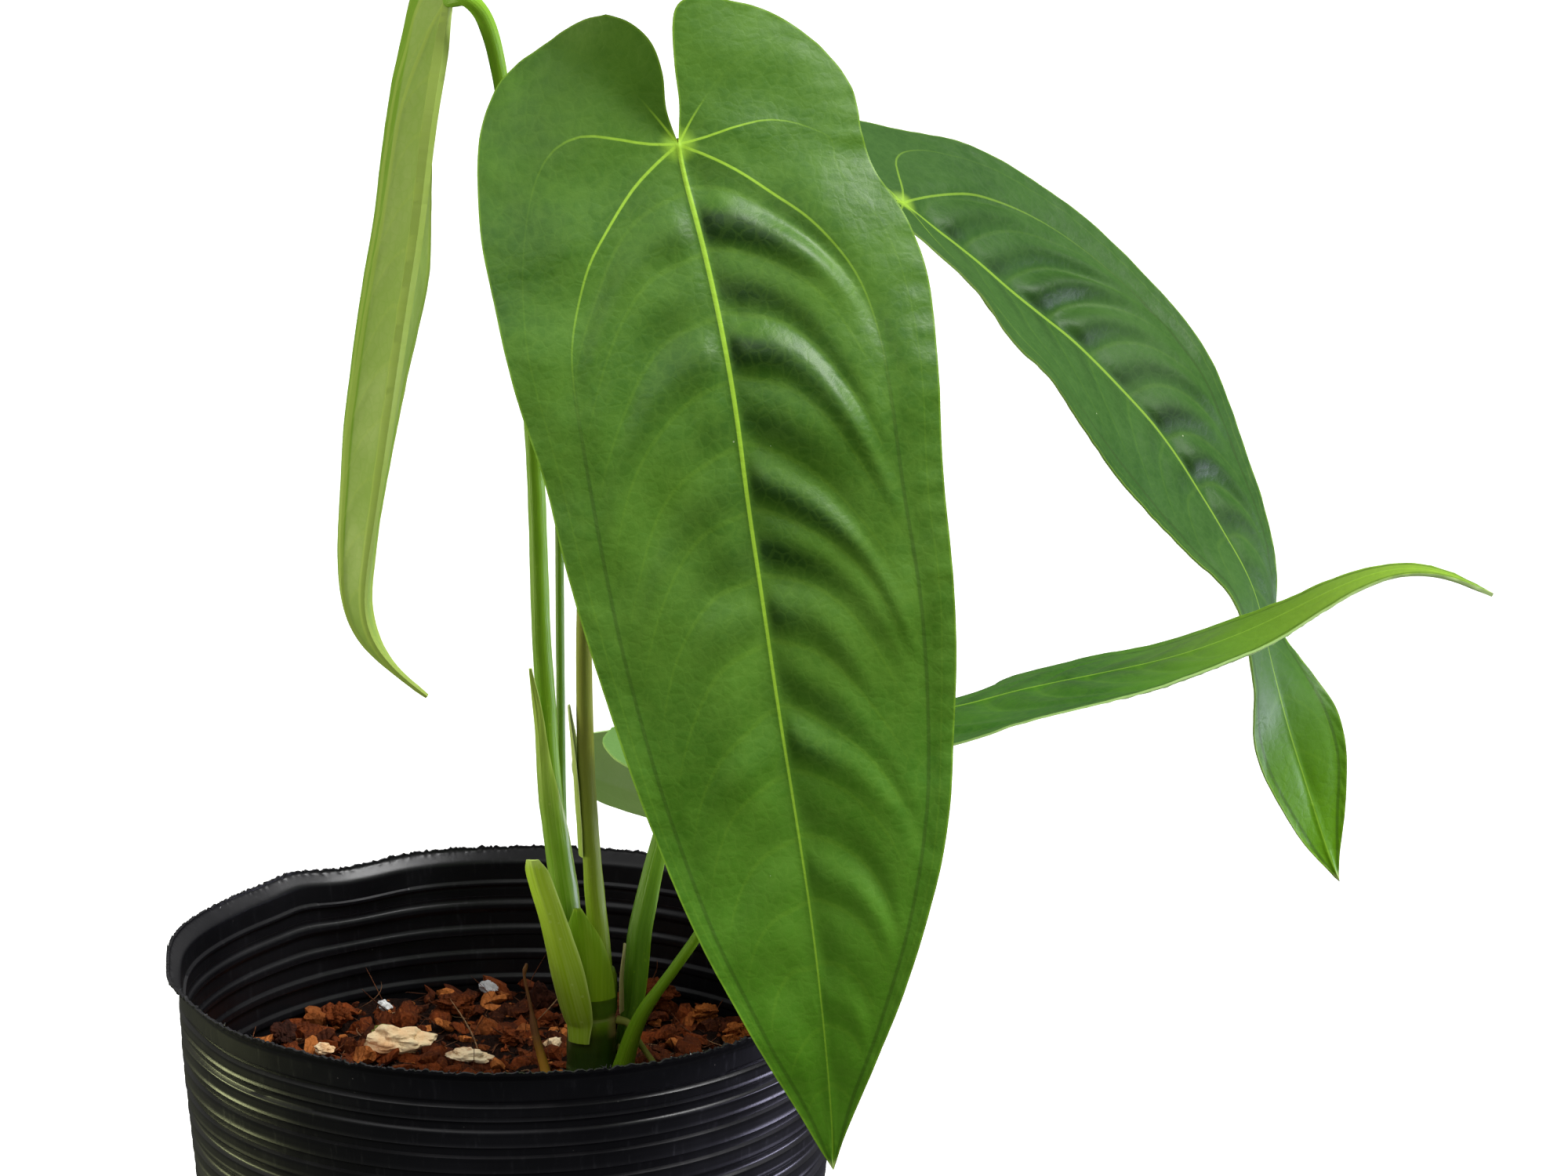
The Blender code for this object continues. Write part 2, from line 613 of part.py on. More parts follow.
def roots(materials):
    mix = MIX_LEVEL + GAP
    clear = ROOT_RADIUS
    tube(
        "aerial_root_long",
        [
            beside_stem(-8, 20, clear), beside_stem(-8, 19, clear + 1.6), (27.8, -0.5, 16), (31.5, -2, 11),
            (33.4, -3, 7), (33.6, -3.1, mix + 1), (33.6, -3.1, mix),
        ],
        (ROOT_RADIUS, ROOT_RADIUS, ROOT_RADIUS * 0.7), materials["root_yellow"], 10,
    )
    tube(
        "aerial_root_short",
        [
            beside_stem(6, 13, clear), beside_stem(6, 12, clear + 1.2), (26.6, 2.6, 8), (26.8, 2.4, mix + 1),
            (26.8, 2.4, mix),
        ],
        (ROOT_RADIUS, ROOT_RADIUS * 0.8), materials["root_yellow"], 7,
    )
    tube(
        "dry_root",
        [
            (9.2, -10.8, mix), (9.2, -10.8, mix + 3), (7.8, -8, 12), (5.6, -6, 20), (4.6, -5, 26),
            (3.4, -4, 32), (3.9, -4, 35),
        ],
        (1.1, 1.0, 0.9, 0.5, 0.4), materials["root_orange"], 13,
    )


# Stones and pieces of husk on the mix: share of the mix's radius, direction in degrees, length, depth,
# height, turn in degrees, material.
LOOSE_PIECES = {
    "limestone_large": (0.63, 141, 19.5, 12, 8, 8, "limestone"),
    "limestone_front": (0.33, 122, 13, 7, 5, -6, "limestone"),
    "limestone_small": (0.77, 152, 5.5, 5, 3, 20, "limestone"),
    "limestone_by_stem": (0.40, 72, 4.5, 5, 5, 0, "limestone"),
    "limestone_yellow": (0.80, 68, 3, 3, 3.6, 30, "limestone_yellow"),
    "perlite_white": (0.93, 122, 4, 3.5, 3.5, 0, "perlite"),
    "perlite_grey": (0.99, 98, 6, 3.6, 4, -30, "perlite_grey"),
    "husk_chip_upright": (0.81, 86, 8, 3, 9, -5, "husk_dark"),
    "husk_chip_rear_right": (1.0, 60, 14, 7, 9, 10, "husk_red"),
    "husk_chip_orange": (0.97, 46, 8, 5, 4.5, 20, "husk_orange"),
    "husk_chip_right": (0.95, 34, 9, 6, 5, -30, "husk_orange"),
    "husk_chip_rear_middle": (0.84, 108, 10, 7, 6, 15, "husk_red"),
    "husk_chip_rear_left": (0.96, 135, 9, 6, 6, -35, "husk_red"),
    "husk_chip_left": (0.96, 152, 10, 6, 6, 60, "husk_dark"),
    "husk_chip_middle": (0.47, 92, 7, 6, 4.5, -25, "husk_red"),
    "husk_chip_front_left": (0.55, 215, 13, 8, 6, 30, "husk_red"),
    "husk_chip_front": (0.65, 265, 12, 7, 6, -10, "husk_dark"),
    "husk_chip_front_right": (0.70, 315, 12, 8, 6, 40, "husk_orange"),
}


def loose_piece(name, index, row, materials):
    """A rough lump with a flat foot on the mix."""
    share, degrees, length, depth, height, turn, finish = row
    rough = random.Random(index + 1)
    angle = math.radians(degrees)
    radius = share * (mix_radius(MIX_TOP) - 2 - length / 2)
    cos_turn = math.cos(math.radians(turn))
    sin_turn = math.sin(math.radians(turn))
    bm = bmesh.new()
    bmesh.ops.create_icosphere(bm, subdivisions=2, radius=1.0)
    for vertex in bm.verts:
        x, y, z = vertex.co * rough.uniform(0.86, 1.08)
        x *= length / 2
        y *= depth / 2
        z = max(z * 0.62 + 0.38, 0.0) * height
        vertex.co = Vector((x * cos_turn - y * sin_turn, x * sin_turn + y * cos_turn, z)) * MM
    made = mesh_object(name, bm, materials[finish], smooth=False)
    made.location = Vector((radius * math.cos(angle), radius * math.sin(angle), MIX_TOP + GAP)) * MM
    return made


def make_materials():
    finishes = {
        "pot_plastic": ((0.012, 0.012, 0.014), 0.38),
        "mix": ((0.10, 0.035, 0.018), 0.95),
        "leaf_green": ((0.045, 0.15, 0.02), 0.42),
        "leaf_rear": ((0.035, 0.13, 0.035), 0.42),
        "leaf_young": ((0.22, 0.36, 0.09), 0.6),
        "stem_green": ((0.13, 0.24, 0.02), 0.45),
        "petiole_olive": ((0.16, 0.20, 0.03), 0.45),
        "petiole_green": ((0.16, 0.32, 0.04), 0.45),
        "sheath_green": ((0.14, 0.30, 0.03), 0.5),
        "sheath_pale": ((0.36, 0.50, 0.12), 0.5),
        "sheath_dark": ((0.08, 0.22, 0.03), 0.5),
        "sheath_dry": ((0.55, 0.45, 0.22), 0.7),
        "root_yellow": ((0.36, 0.36, 0.07), 0.6),
        "root_orange": ((0.45, 0.24, 0.03), 0.6),
        "limestone": ((0.66, 0.54, 0.36), 0.9),
        "limestone_yellow": ((0.7, 0.58, 0.2), 0.9),
        "perlite": ((0.8, 0.8, 0.78), 0.8),
        "perlite_grey": ((0.5, 0.5, 0.5), 0.6),
        "husk_red": ((0.25, 0.07, 0.03), 0.9),
        "husk_dark": ((0.12, 0.04, 0.03), 0.9),
        "husk_orange": ((0.42, 0.13, 0.04), 0.9),
    }
    return {name: material_of(name, colour, roughness) for name, (colour, roughness) in finishes.items()}


def main():
    for obj in list(bpy.data.objects):
        bpy.data.objects.remove(obj)
    collection_of(PARTS)
    collection_of(CUTTERS)
    materials = make_materials()
    pot(materials["pot_plastic"])
    potting_mix(materials["mix"])
    stem(materials["stem_green"])
    for name, row in PETIOLES.items():
        finish = "petiole_olive" if name == "petiole_front" else "petiole_green"
        tube(name, row["route"], row["radii"], materials[finish], 3 * len(row["route"]) // 2)
    finishes = {"blade_left": "leaf_young", "blade_rear": "leaf_rear"}
    for name in BLADES:
        blade(name, materials[finishes.get(name, "leaf_green")])
    sheaths(materials)
    roots(materials)
    for index, (name, row) in enumerate(LOOSE_PIECES.items()):
        loose_piece(name, index, row, materials)


main()
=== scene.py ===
"""Looks of the potted anthurium: fine leaf blades with their veins, fleshy stalks, bracts and roots, a bed of
coco husk with stones on it, and the thin ribbed pot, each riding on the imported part.

Lengths are in millimetres until a mesh is made. The plant is laid out from a point under the mix's surface.
"""

import math
import random

import bmesh
import bpy
import numpy as np
from mathutils import Euler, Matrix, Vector, noise


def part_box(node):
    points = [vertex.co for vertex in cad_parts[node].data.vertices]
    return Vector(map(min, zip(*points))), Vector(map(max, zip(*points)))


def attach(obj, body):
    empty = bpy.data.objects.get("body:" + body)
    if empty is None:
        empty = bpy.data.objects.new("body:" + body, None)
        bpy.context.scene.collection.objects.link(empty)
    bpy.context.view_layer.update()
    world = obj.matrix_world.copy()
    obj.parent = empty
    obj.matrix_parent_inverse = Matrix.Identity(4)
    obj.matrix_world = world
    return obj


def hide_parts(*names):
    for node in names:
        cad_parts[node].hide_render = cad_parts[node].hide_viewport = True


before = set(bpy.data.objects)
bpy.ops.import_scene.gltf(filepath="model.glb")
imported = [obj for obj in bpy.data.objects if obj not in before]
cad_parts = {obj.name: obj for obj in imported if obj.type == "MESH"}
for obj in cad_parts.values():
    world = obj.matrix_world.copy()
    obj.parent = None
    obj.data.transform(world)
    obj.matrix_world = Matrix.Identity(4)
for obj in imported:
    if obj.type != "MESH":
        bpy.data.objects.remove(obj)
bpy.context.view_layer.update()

MM = 0.001
MIX_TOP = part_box("potting_mix")[1].z / MM
MIX_LEVEL = 4.0  # the mix's height in the plant's own measure
PLANT_FOOT = MIX_TOP - MIX_LEVEL
STEM_LOW, STEM_HIGH = (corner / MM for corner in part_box("stem"))
STEM_X = (STEM_LOW.x + STEM_HIGH.x) / 2
STEM_Y = (STEM_LOW.y + STEM_HIGH.y) / 2
STEM_RADIUS = (STEM_HIGH.x - STEM_LOW.x) / 2
STEM_HEIGHT = STEM_HIGH.z - PLANT_FOOT
POT_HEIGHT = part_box("pot")[1].z / MM
POT_RIM_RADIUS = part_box("pot")[1].x / MM
POT_BASE_RADIUS = 62.0
POT_WALL = 0.7
POT_LIP_OUT = 2.3
POT_LIP_HEIGHT = 2.4
POT_BAND_HEIGHT = 7.0
POT_RIB_PITCH = 5.8
POT_RIB_DEPTH = 0.6
DRAIN_HOLES = 8
DRAIN_RADIUS = 5.0
DRAIN_CIRCLE = 43.4
LEAF_THICKNESS = 0.45
SPINE_EASE = 12.0  # how far a blade's bends along its midrib are eased
STRAND_SIDES = 5
LITTER_COUNT = 1500
COIR_COUNT = 520
BURR_COUNT = 150

# Each blade hangs on a spine, a line of points along its midrib, and its two halves are flat outlines, as
# (distance along the midrib from where the petiole joins, distance out from it). "ways" are the ways that
# a half leaves the midrib, at distances along it, and "curl" is how fast it bends on from there towards its
# upper face, in degrees a millimetre.
LEAVES = {
    "blade_front": {
        "spine": [
            (36.5, -42, 252), (38.6, -50, 222.3), (41.8, -56, 210.5), (45.7, -62.5, 195.6),
            (49.6, -70, 176.7), (52.7, -75, 154), (55.7, -79, 134.4), (58.4, -82, 116),
            (61.9, -85, 94.3), (65, -87, 73.7), (67.4, -88, 52.6), (69.1, -86, 31.8), (69.6, -84, 18.8),
        ],
        "junction": 1,
        "plus": {
            "sinus": [(0, 0), (-8, 0.9), (-16, 0.5), (-24, 0.6), (-28, 2), (-30, 6)],
            "margin": [
                (-30, 6), (-28.5, 12), (-26, 20.5), (-19, 30), (-9, 36), (4, 36.7), (14, 37.5), (24, 41),
                (36, 42.5), (55, 40.5), (72, 39), (103, 37), (127, 32.8), (143, 28.6), (157, 23),
                (171, 16.8), (186, 9.4), (200, 3), (209, 0),
            ],
            "ways": [
                (-30, (0.97, 0.22, 0)), (0, (0.99, -0.06, 0)),
                (40, (0.99, -0.13, 0)), (209, (0.98, -0.17, 0)),
            ],
            "curl": [(-30, -0.5), (0, -0.5), (100, -0.4), (209, -0.6)],
        },
        "minus": {
            "sinus": [(0, 0), (-7, 1.6), (-14, 1.6), (-20, 3), (-24, 6.5), (-26, 11)],
            "margin": [
                (-26, 11), (-25.4, 17), (-22.5, 25.5), (-17, 34.5), (-8, 39), (2, 41), (12, 42.7), (30, 43),
                (47, 42), (65, 39), (90, 36), (117, 31.5), (140, 27), (158, 22), (176, 15), (193, 7.5),
                (203, 3), (209, 0),
            ],
            "ways": [
                (-30, (-0.98, 0.18, 0)), (0, (-0.99, -0.06, 0)),
                (40, (-0.99, -0.13, 0)), (209, (-0.98, -0.17, 0)),
            ],
            "curl": [(-30, -0.9), (0, -0.4), (100, -0.3), (209, -0.5)],
        },
    },
    "blade_left": {
        "spine": [
            (-5.5, 6, 262), (-9.8, 0.5, 243.5), (-11.6, -4, 231.4), (-13.7, -8, 219), (-16.4, -12, 196.8),
            (-19.1, -14, 180.7), (-22.3, -16, 161), (-25.7, -18, 139.8), (-28.2, -18, 124.6),
            (-28.4, -18, 114.4), (-23.2, -18, 105.8), (-15.5, -18, 99.3),
        ],
        "junction": 1,
        "plus": {
            "sinus": [(0, 0), (-6, 0.8), (-12, 1.8), (-17, 4)],
            "margin": [
                (-17, 4), (-16, 8), (-10, 11), (0, 12.5), (15, 13.5), (40, 14), (70, 14), (95, 12.5),
                (115, 9.5), (130, 5.5), (142, 2), (152, 0),
            ],
            "ways": [
                (-20, (-0.62, 0.78, 0)), (60, (-0.66, 0.75, 0)),
                (110, (-0.7, 0.71, 0)), (152, (-0.8, 0.6, 0)),
            ],
            "curl": [(-20, -0.4), (152, -0.4)],
        },
        "minus": {
            "sinus": [(0, 0), (-6, 0.8), (-12, 1.8), (-17, 4)],
            "margin": [
                (-17, 4), (-16, 8), (-10, 11), (0, 12.5), (15, 13.5), (40, 14), (70, 14), (95, 12.5),
                (115, 9.5), (130, 5.5), (142, 2), (152, 0),
            ],
            "ways": [
                (-20, (-0.02, 1, 0)), (30, (0.03, 1, 0)), (58, (0.24, 0.97, 0)), (80, (0.14, 0.99, 0)),
                (110, (0.05, 1, 0)), (152, (0.2, 0.9, 0)),
            ],
            "curl": [(-20, 0.3), (58, 0), (152, 0.2)],
        },
    },
    "blade_rear": {
        "spine": [
            (66, 28, 206), (84.9, 30, 195.3), (92.3, 31, 189.8), (99.2, 33, 184.4), (111.1, 36, 173.4),
            (122.6, 37.5, 164.1), (132, 38, 154.5), (142.1, 37, 143.5), (150.6, 35, 130.9),
            (158.2, 31, 118.7), (162.9, 27, 110), (165.4, 23, 98.1), (169.7, 21, 81.4), (175.1, 20, 65),
            (179, 20, 53), (182.1, 20, 45.8),
        ],
        "junction": 1,
        "plus": {
            "sinus": [(0, 0), (-8, 1), (-16, 2), (-23, 6)],
            "margin": [
                (-23, 6), (-22, 14), (-15, 25), (-3, 32), (14, 36), (36, 37), (60, 33.5), (80, 27.5),
                (100, 21), (122, 14.5), (140, 12.8), (150, 13), (160, 11.4), (172, 7), (182, 2.2), (187, 0),
            ],
            "ways": [
                (-25, (0.28, 0.95, 0.2)), (0, (0.3, 0.92, 0.27)), (35, (0.36, 0.8, 0.47)),
                (75, (0.43, 0.75, 0.5)), (100, (0.42, 0.85, 0.25)), (120, (0.22, 0.97, 0.1)),
                (129, (0.2, 0.97, 0.1)), (138, (0.55, 0.83, 0.1)), (149, (0.9, 0.4, 0.2)),
                (187, (0.95, 0.2, 0.2)),
            ],
            "curl": [(-25, -0.3), (60, -0.4), (130, 0), (187, 0)],
        },
        "minus": {
            "sinus": [(0, 0), (-8, 1), (-16, 2), (-23, 6)],
            "margin": [
                (-23, 6), (-22, 14), (-15, 25), (-3, 32), (14, 36), (36, 37), (60, 33.5), (80, 27.5),
                (100, 21), (122, 14.5), (140, 11.5), (150, 11), (160, 9.6), (172, 6.2), (182, 2), (187, 0),
            ],
            "ways": [
                (-25, (-0.1, -0.98, 0.1)), (0, (-0.14, -0.98, 0.06)), (35, (-0.22, -0.96, -0.02)),
                (60, (-0.34, -0.9, -0.1)), (87, (-0.4, -0.86, -0.16)), (106, (-0.43, -0.87, -0.12)),
                (120, (-0.36, -0.93, 0)), (129, (-0.3, -0.95, 0)), (138, (-0.4, -0.9, 0)),
                (149, (-0.75, -0.62, 0)), (187, (-0.9, -0.4, -0.1)),
            ],
            "curl": [(-25, 0.2), (60, 0.2), (130, 0), (187, 0)],
        },
    },
    "blade_right": {
        "spine": [
            (20, -1, 90), (47, -3, 86.5), (59.6, -7, 89), (76.1, -12, 93), (95.9, -17, 97),
            (107.4, -18, 100.7), (125.5, -18, 104.6), (141.9, -18, 108.4), (158.2, -18, 114.4),
            (174.2, -20, 123.1), (186.9, -22, 128.4), (198.1, -24, 127.9), (207, -26, 123.9),
        ],
        "junction": 1,
        "plus": {
            "sinus": [(0, 0), (-9, 0.8), (-19, 1.6), (-29, 5)],
            "margin": [
                (-29, 5), (-32, 12.5), (-28.5, 20), (-16, 24), (0, 26), (20, 28), (45, 28), (70, 25),
                (95, 20), (115, 14.5), (132, 8.5), (146, 4), (158, 1.8), (170, 0),
            ],
            "ways": [
                (-30, (0, 0.3, -0.95)), (-5, (0, 0.4, -0.91)), (18, (0, 0.67, -0.74)), (42, (0, 0.95, -0.3)),
                (62, (0, 0.98, -0.2)), (110, (0, 1, -0.08)), (150, (0, 0.99, 0.1)), (170, (0, 0.98, 0.2)),
            ],
            "curl": [(-30, -0.2), (20, -0.6), (60, 0), (170, 0)],
        },
        "minus": {
            "sinus": [(0, 0), (-9, 0.8), (-18, 1.6), (-24, 5)],
            "margin": [
                (-24, 5), (-25, 13), (-20, 21), (-10, 26), (2, 28.5), (20, 29), (45, 28), (70, 25),
                (95, 20), (115, 14.5), (132, 8.5), (146, 4), (158, 1.8), (170, 0),
            ],
            "ways": [
                (-30, (0, -0.99, -0.1)), (60, (0, -0.99, -0.1)),
                (110, (0, -0.99, -0.12)), (170, (0, -0.98, -0.1)),
            ],
            "curl": [(-30, -0.3), (60, 0.4), (110, 0.8), (170, 0)],
        },
    },
}


def spline_points(points, t):
    """Places on the smooth line through the points, where t counts points from the first."""
    points = np.asarray(points, float)
    padded = np.vstack([2 * points[0] - points[1], points, 2 * points[-1] - points[-2]])
    i = np.clip(t.astype(int), 0, len(points) - 2)
    f = (t - i)[:, None]
    a, b, c, d = padded[i], padded[i + 1], padded[i + 2], padded[i + 3]
    return b + 0.5 * f * (c - a + f * (2 * a - 5 * b + 4 * c - d + f * (3 * (b - c) + d - a)))


def run_along(line):
    """The distance along a line of points, at each."""
    return np.concatenate([[0], np.cumsum(np.linalg.norm(np.diff(line, axis=0), axis=1))])


def smooth_line(points, count):
    """The smooth line through the points as this many points, evenly apart."""
    fine = spline_points(points, np.linspace(0, len(points) - 1, 20 * len(points)))
    run = run_along(fine)
    even = np.linspace(0, run[-1], count)
    return np.stack([np.interp(even, run, fine[:, k]) for k in range(fine.shape[1])], axis=1)


def softened(line, reach):
    """The line with its bends eased over this distance, its ends kept."""
    run = run_along(line)
    even = np.linspace(0, run[-1], 500)
    places = np.stack([np.interp(even, run, line[:, k]) for k in range(3)], axis=1)
    half = max(2, int(reach / even[1]))
    weights = np.hanning(2 * half + 3)[1:-1]
    before = 2 * places[0] - places[half:0:-1]
    after = 2 * places[-1] - places[-2:-half - 2:-1]
    padded = np.vstack([before, places, after])
    return np.stack([np.convolve(padded[:, k], weights / weights.sum(), "valid") for k in range(3)], axis=1)


def walk(line, share):
    """Places at shares 0..1 along an evenly spaced line."""
    at = np.linspace(0, 1, len(line))
    return np.stack([np.interp(share, at, line[:, k]) for k in range(line.shape[1])], axis=-1)


def unit(vectors):
    """The vectors, scaled to a length of one."""
    length = np.linalg.norm(vectors, axis=-1, keepdims=True)
    return vectors / np.maximum(length, 1e-9)


def ease(low, high, value):
    """From 0 at low to 1 at high, with a soft start and end."""
    share = np.clip((value - low) / (high - low), 0, 1)
    return share * share * (3 - 2 * share)


def waves(places, size, seed):
    """Smooth noise, from -1 to 1, at places in millimetres."""
    return np.array([noise.noise(Vector((x / size, y / size, z / size + seed))) for x, y, z in places])


def signed_distance(points, line):
    """The distance from flat points to a line of points, with the sign of the side that they lie on."""
    best = np.full(len(points), 1e9)
    side = np.ones(len(points))
    for start, end in zip(line[:-1], line[1:]):
        step = end - start
        share = np.clip(((points - start) @ step) / (step @ step), 0, 1)
        gap = points - (start + share[:, None] * step)
        distance = np.linalg.norm(gap, axis=1)
        nearer = distance < best
        best = np.where(nearer, distance, best)
        side = np.where(nearer, np.sign(step[0] * gap[:, 1] - step[1] * gap[:, 0]), side)
    return best * np.where(side == 0, 1, side)


class LeafShape:
    """A blade's surface in space, from its spine and its two flat halves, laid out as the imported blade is."""

    def __init__(self, row):
        fine = spline_points(row["spine"], np.linspace(0, len(row["spine"]) - 1, 20 * len(row["spine"])))
        run = run_along(fine)
        start = np.interp(row["junction"], np.linspace(0, len(row["spine"]) - 1, len(fine)), run)
        fine = softened(fine, SPINE_EASE)
        self.spine = fine
        self.run = run_along(fine) - start
        self.headings = np.gradient(fine, self.run, axis=0)
        self.length = self.run[-1]
        self.halves = {1: dict(row["plus"]), -1: dict(row["minus"])}
        for half in self.halves.values():
            stretch = self.length / half["margin"][-1][0]
            half["margin"] = [(s * stretch if s > 0 else s, t) for s, t in half["margin"]]
            half["margin_line"] = smooth_line(half["margin"], 200)
            half["sinus_line"] = smooth_line(half["sinus"], 200)
            rows = half["ways"]
            even = np.linspace(rows[0][0], rows[-1][0], 300)
            weights = np.hanning(29)[1:-1]
            turned = []
            for k in range(3):
                values = np.interp(even, [row[0] for row in rows], [row[1][k] for row in rows])
                turned.append(np.convolve(np.pad(values, 13, mode="edge"), weights / weights.sum(), "valid"))
            half["way_line"] = (even, turned)

    def flat(self, side, u, v):
        """Places on a flat half: distance along the midrib and out from it."""
        half = self.halves[side]
        crest = np.array(half["margin"][0], float)
        tip = np.array([self.length, 0.0])
        u, v = u[:, None], v[:, None]
        midrib = np.hstack([self.length * v**1.5, 0 * v])
        patch = (1 - u) * midrib + u * walk(half["margin_line"], v[:, 0])
        patch = patch + (1 - v) * walk(half["sinus_line"], u[:, 0]) + v * tip
        return patch - (u * (1 - v) * crest + v * tip)

    def along(self, s):
        """Places and headings on the spine at distances along it, straight on past its ends."""
        place = np.stack([np.interp(s, self.run, self.spine[:, k]) for k in range(3)], axis=-1)
        heading = unit(np.stack([np.interp(s, self.run, self.headings[:, k]) for k in range(3)], axis=-1))
        beyond = np.minimum(s - self.run[0], 0) + np.maximum(s - self.run[-1], 0)
        return place + heading * beyond[:, None], heading

    def place(self, side, flat):
        """Flat places of a half, put in space."""
        s, t = flat[:, 0], flat[:, 1]
        half = self.halves[side]
        foot, heading = self.along(s)
        even, turned = half["way_line"]
        hint = np.stack([np.interp(s, even, values) for values in turned], axis=-1)
        out = unit(hint - heading * (hint * heading).sum(axis=1, keepdims=True))
        up = side * np.cross(heading, out)
        curl = np.interp(s, [row[0] for row in half["curl"]], [row[1] for row in half["curl"]])
        bend = np.radians(curl) * t
        chord = t * np.sinc(bend / (2 * math.pi))
        turned = np.cos(bend / 2)[:, None] * out + np.sin(bend / 2)[:, None] * up
        return foot + chord[:, None] * turned


# The main veins of a flat half blade, as (share of the blade's length, share of its half width), from where
# the stalk joins to the tip or the margin.
MAIN_VEINS = {
    "primary": [
        (0, 0), (0.015, 0.12), (0.035, 0.27), (0.065, 0.42), (0.1, 0.55), (0.15, 0.66), (0.2, 0.72),
        (0.27, 0.76), (0.35, 0.79), (0.45, 0.82), (0.55, 0.84), (0.65, 0.85), (0.75, 0.85), (0.85, 0.82),
        (0.93, 0.72), (1, 0.0),
    ],
    "basal": [
        (0, 0), (-0.004, 0.14), (-0.012, 0.3), (-0.016, 0.45), (-0.006, 0.6), (0.02, 0.72), (0.06, 0.81),
        (0.12, 0.87), (0.2, 0.9), (0.35, 0.915), (0.5, 0.92), (0.7, 0.93), (0.9, 0.9), (1, 0.0),
    ],
    "lobe": [(0, 0), (-0.03, 0.1), (-0.065, 0.24), (-0.09, 0.42), (-0.1, 0.6), (-0.085, 0.8), (-0.06, 1.05)],
}


def half_width(half, s):
    """How far out the margin is, at distances along the midrib."""
    line = half["margin_line"]
    order = np.argsort(line[:, 0])
    return np.maximum(np.interp(s, line[order, 0], line[order, 1]), 0.3)


def leaf_fields(shape, side, flat, pitch, first):
    """What the veins need at flat places of a half: distances in millimetres and shares across."""
    s, t = flat[:, 0], flat[:, 1]
    half = shape.halves[side]
    width = half_width(half, s)
    across = np.clip(t / width, 0, 1.2)
    fields = {"across": across, "along": s / shape.length, "midrib": side * t, "from_base": np.hypot(s, t)}
    widest = half_width(half, np.array([0.2 * shape.length]))[0]
    for name, shares in MAIN_VEINS.items():
        line = []
        for along, out in shares:
            local = half_width(half, np.array([along * shape.length]))[0] if along > 0.02 else widest
            line.append((along * shape.length, out * local))
        fields[name] = signed_distance(flat, smooth_line(line, 90))
    margin = np.vstack([half["margin_line"][::2], half["margin_line"][-1:]])
    sinus = half["sinus_line"][::4]
    to_margin, to_sinus = signed_distance(flat, margin), signed_distance(flat, sinus)
    fields["to_margin"] = np.minimum(np.abs(to_margin), np.abs(to_sinus))
    reach = width * (0.2 * across + 0.5 * across**2 + 1.1 * across**3)
    drift = 0.22 * waves(np.stack([s, side * t, 0 * s], axis=1), 26, 41 + pitch)
    fields["lateral"] = (s - reach - first) / pitch + drift * ease(0.05, 0.3, across)
    fields["reach_start"] = s - reach
    return fields


# ---- Node groups that the finishes share ----


def add(tree, kind, settings=None, **inputs):
    """A node in a tree. Each input is a socket to join, or a value to set."""
    made = tree.nodes.new("ShaderNode" + kind)
    for key, value in (settings or {}).items():
        setattr(made, key, value)
    for key, value in inputs.items():
        name = key.replace("_", " ")
        socket = made.inputs[int(name[1:])] if name[0] == "i" and name[1:].isdigit() else made.inputs[name]
        if isinstance(value, bpy.types.NodeSocket):
            tree.links.new(value, socket)
        else:
            socket.default_value = value
    return made


def sums(tree, operation, a, b=0.5, clamp=False):
    """What a Math node makes of two sockets or values."""
    return add(tree, "Math", {"operation": operation, "use_clamp": clamp}, i0=a, i1=b).outputs[0]


def blend(tree, share, a, b):
    """Colour a, with this share of colour b over it."""
    a = a if isinstance(a, bpy.types.NodeSocket) else (*a, 1.0)
    b = b if isinstance(b, bpy.types.NodeSocket) else (*b, 1.0)
    made = add(tree, "Mix", {"data_type": "RGBA"}, i0=share, i6=a, i7=b)
    return made.outputs[2]


def spread(tree, value, low, high, out_low=0.0, out_high=1.0):
    """A value's range, eased onto another."""
    settings = {"interpolation_type": "SMOOTHSTEP"}
    made = add(
        tree, "MapRange", settings, Value=value, From_Min=low, From_Max=high, To_Min=out_low, To_Max=out_high
    )
    return made.outputs[0]


def attribute(tree, name):
    """A node that reads a value set at a mesh's points."""
    return add(tree, "Attribute", {"attribute_name": name})


def start_group(name, inputs, outputs):
    """An empty shader group with named sockets, and where its inputs come out and its outputs go in."""
    tree = bpy.data.node_groups.new(name, "ShaderNodeTree")
    for label, kind, value in inputs:
        socket = tree.interface.new_socket(label, in_out="INPUT", socket_type="NodeSocket" + kind)
        if value is not None:
            socket.default_value = value
    for label, kind in outputs:
        tree.interface.new_socket(label, in_out="OUTPUT", socket_type="NodeSocket" + kind)
    return tree, tree.nodes.new("NodeGroupInput").outputs, tree.nodes.new("NodeGroupOutput").inputs


def vein_line_group():
    """A thin line where a distance is nearly none."""
    tree, given, out = start_group(
        "Vein Line", [("Distance", "Float", 1.0), ("Width", "Float", 0.5), ("Softness", "Float", 0.3)],
        [("Mask", "Float")],
    )
    distance = sums(tree, "ABSOLUTE", given["Distance"])
    half = sums(tree, "MULTIPLY", given["Width"], 0.5)
    edge = sums(tree, "ADD", half, given["Softness"])
    share = add(
        tree, "MapRange", {"interpolation_type": "SMOOTHSTEP"}, Value=distance, From_Min=half, From_Max=edge,
        To_Min=1.0, To_Max=0.0,
    )
    tree.links.new(share.outputs[0], out["Mask"])
    return tree


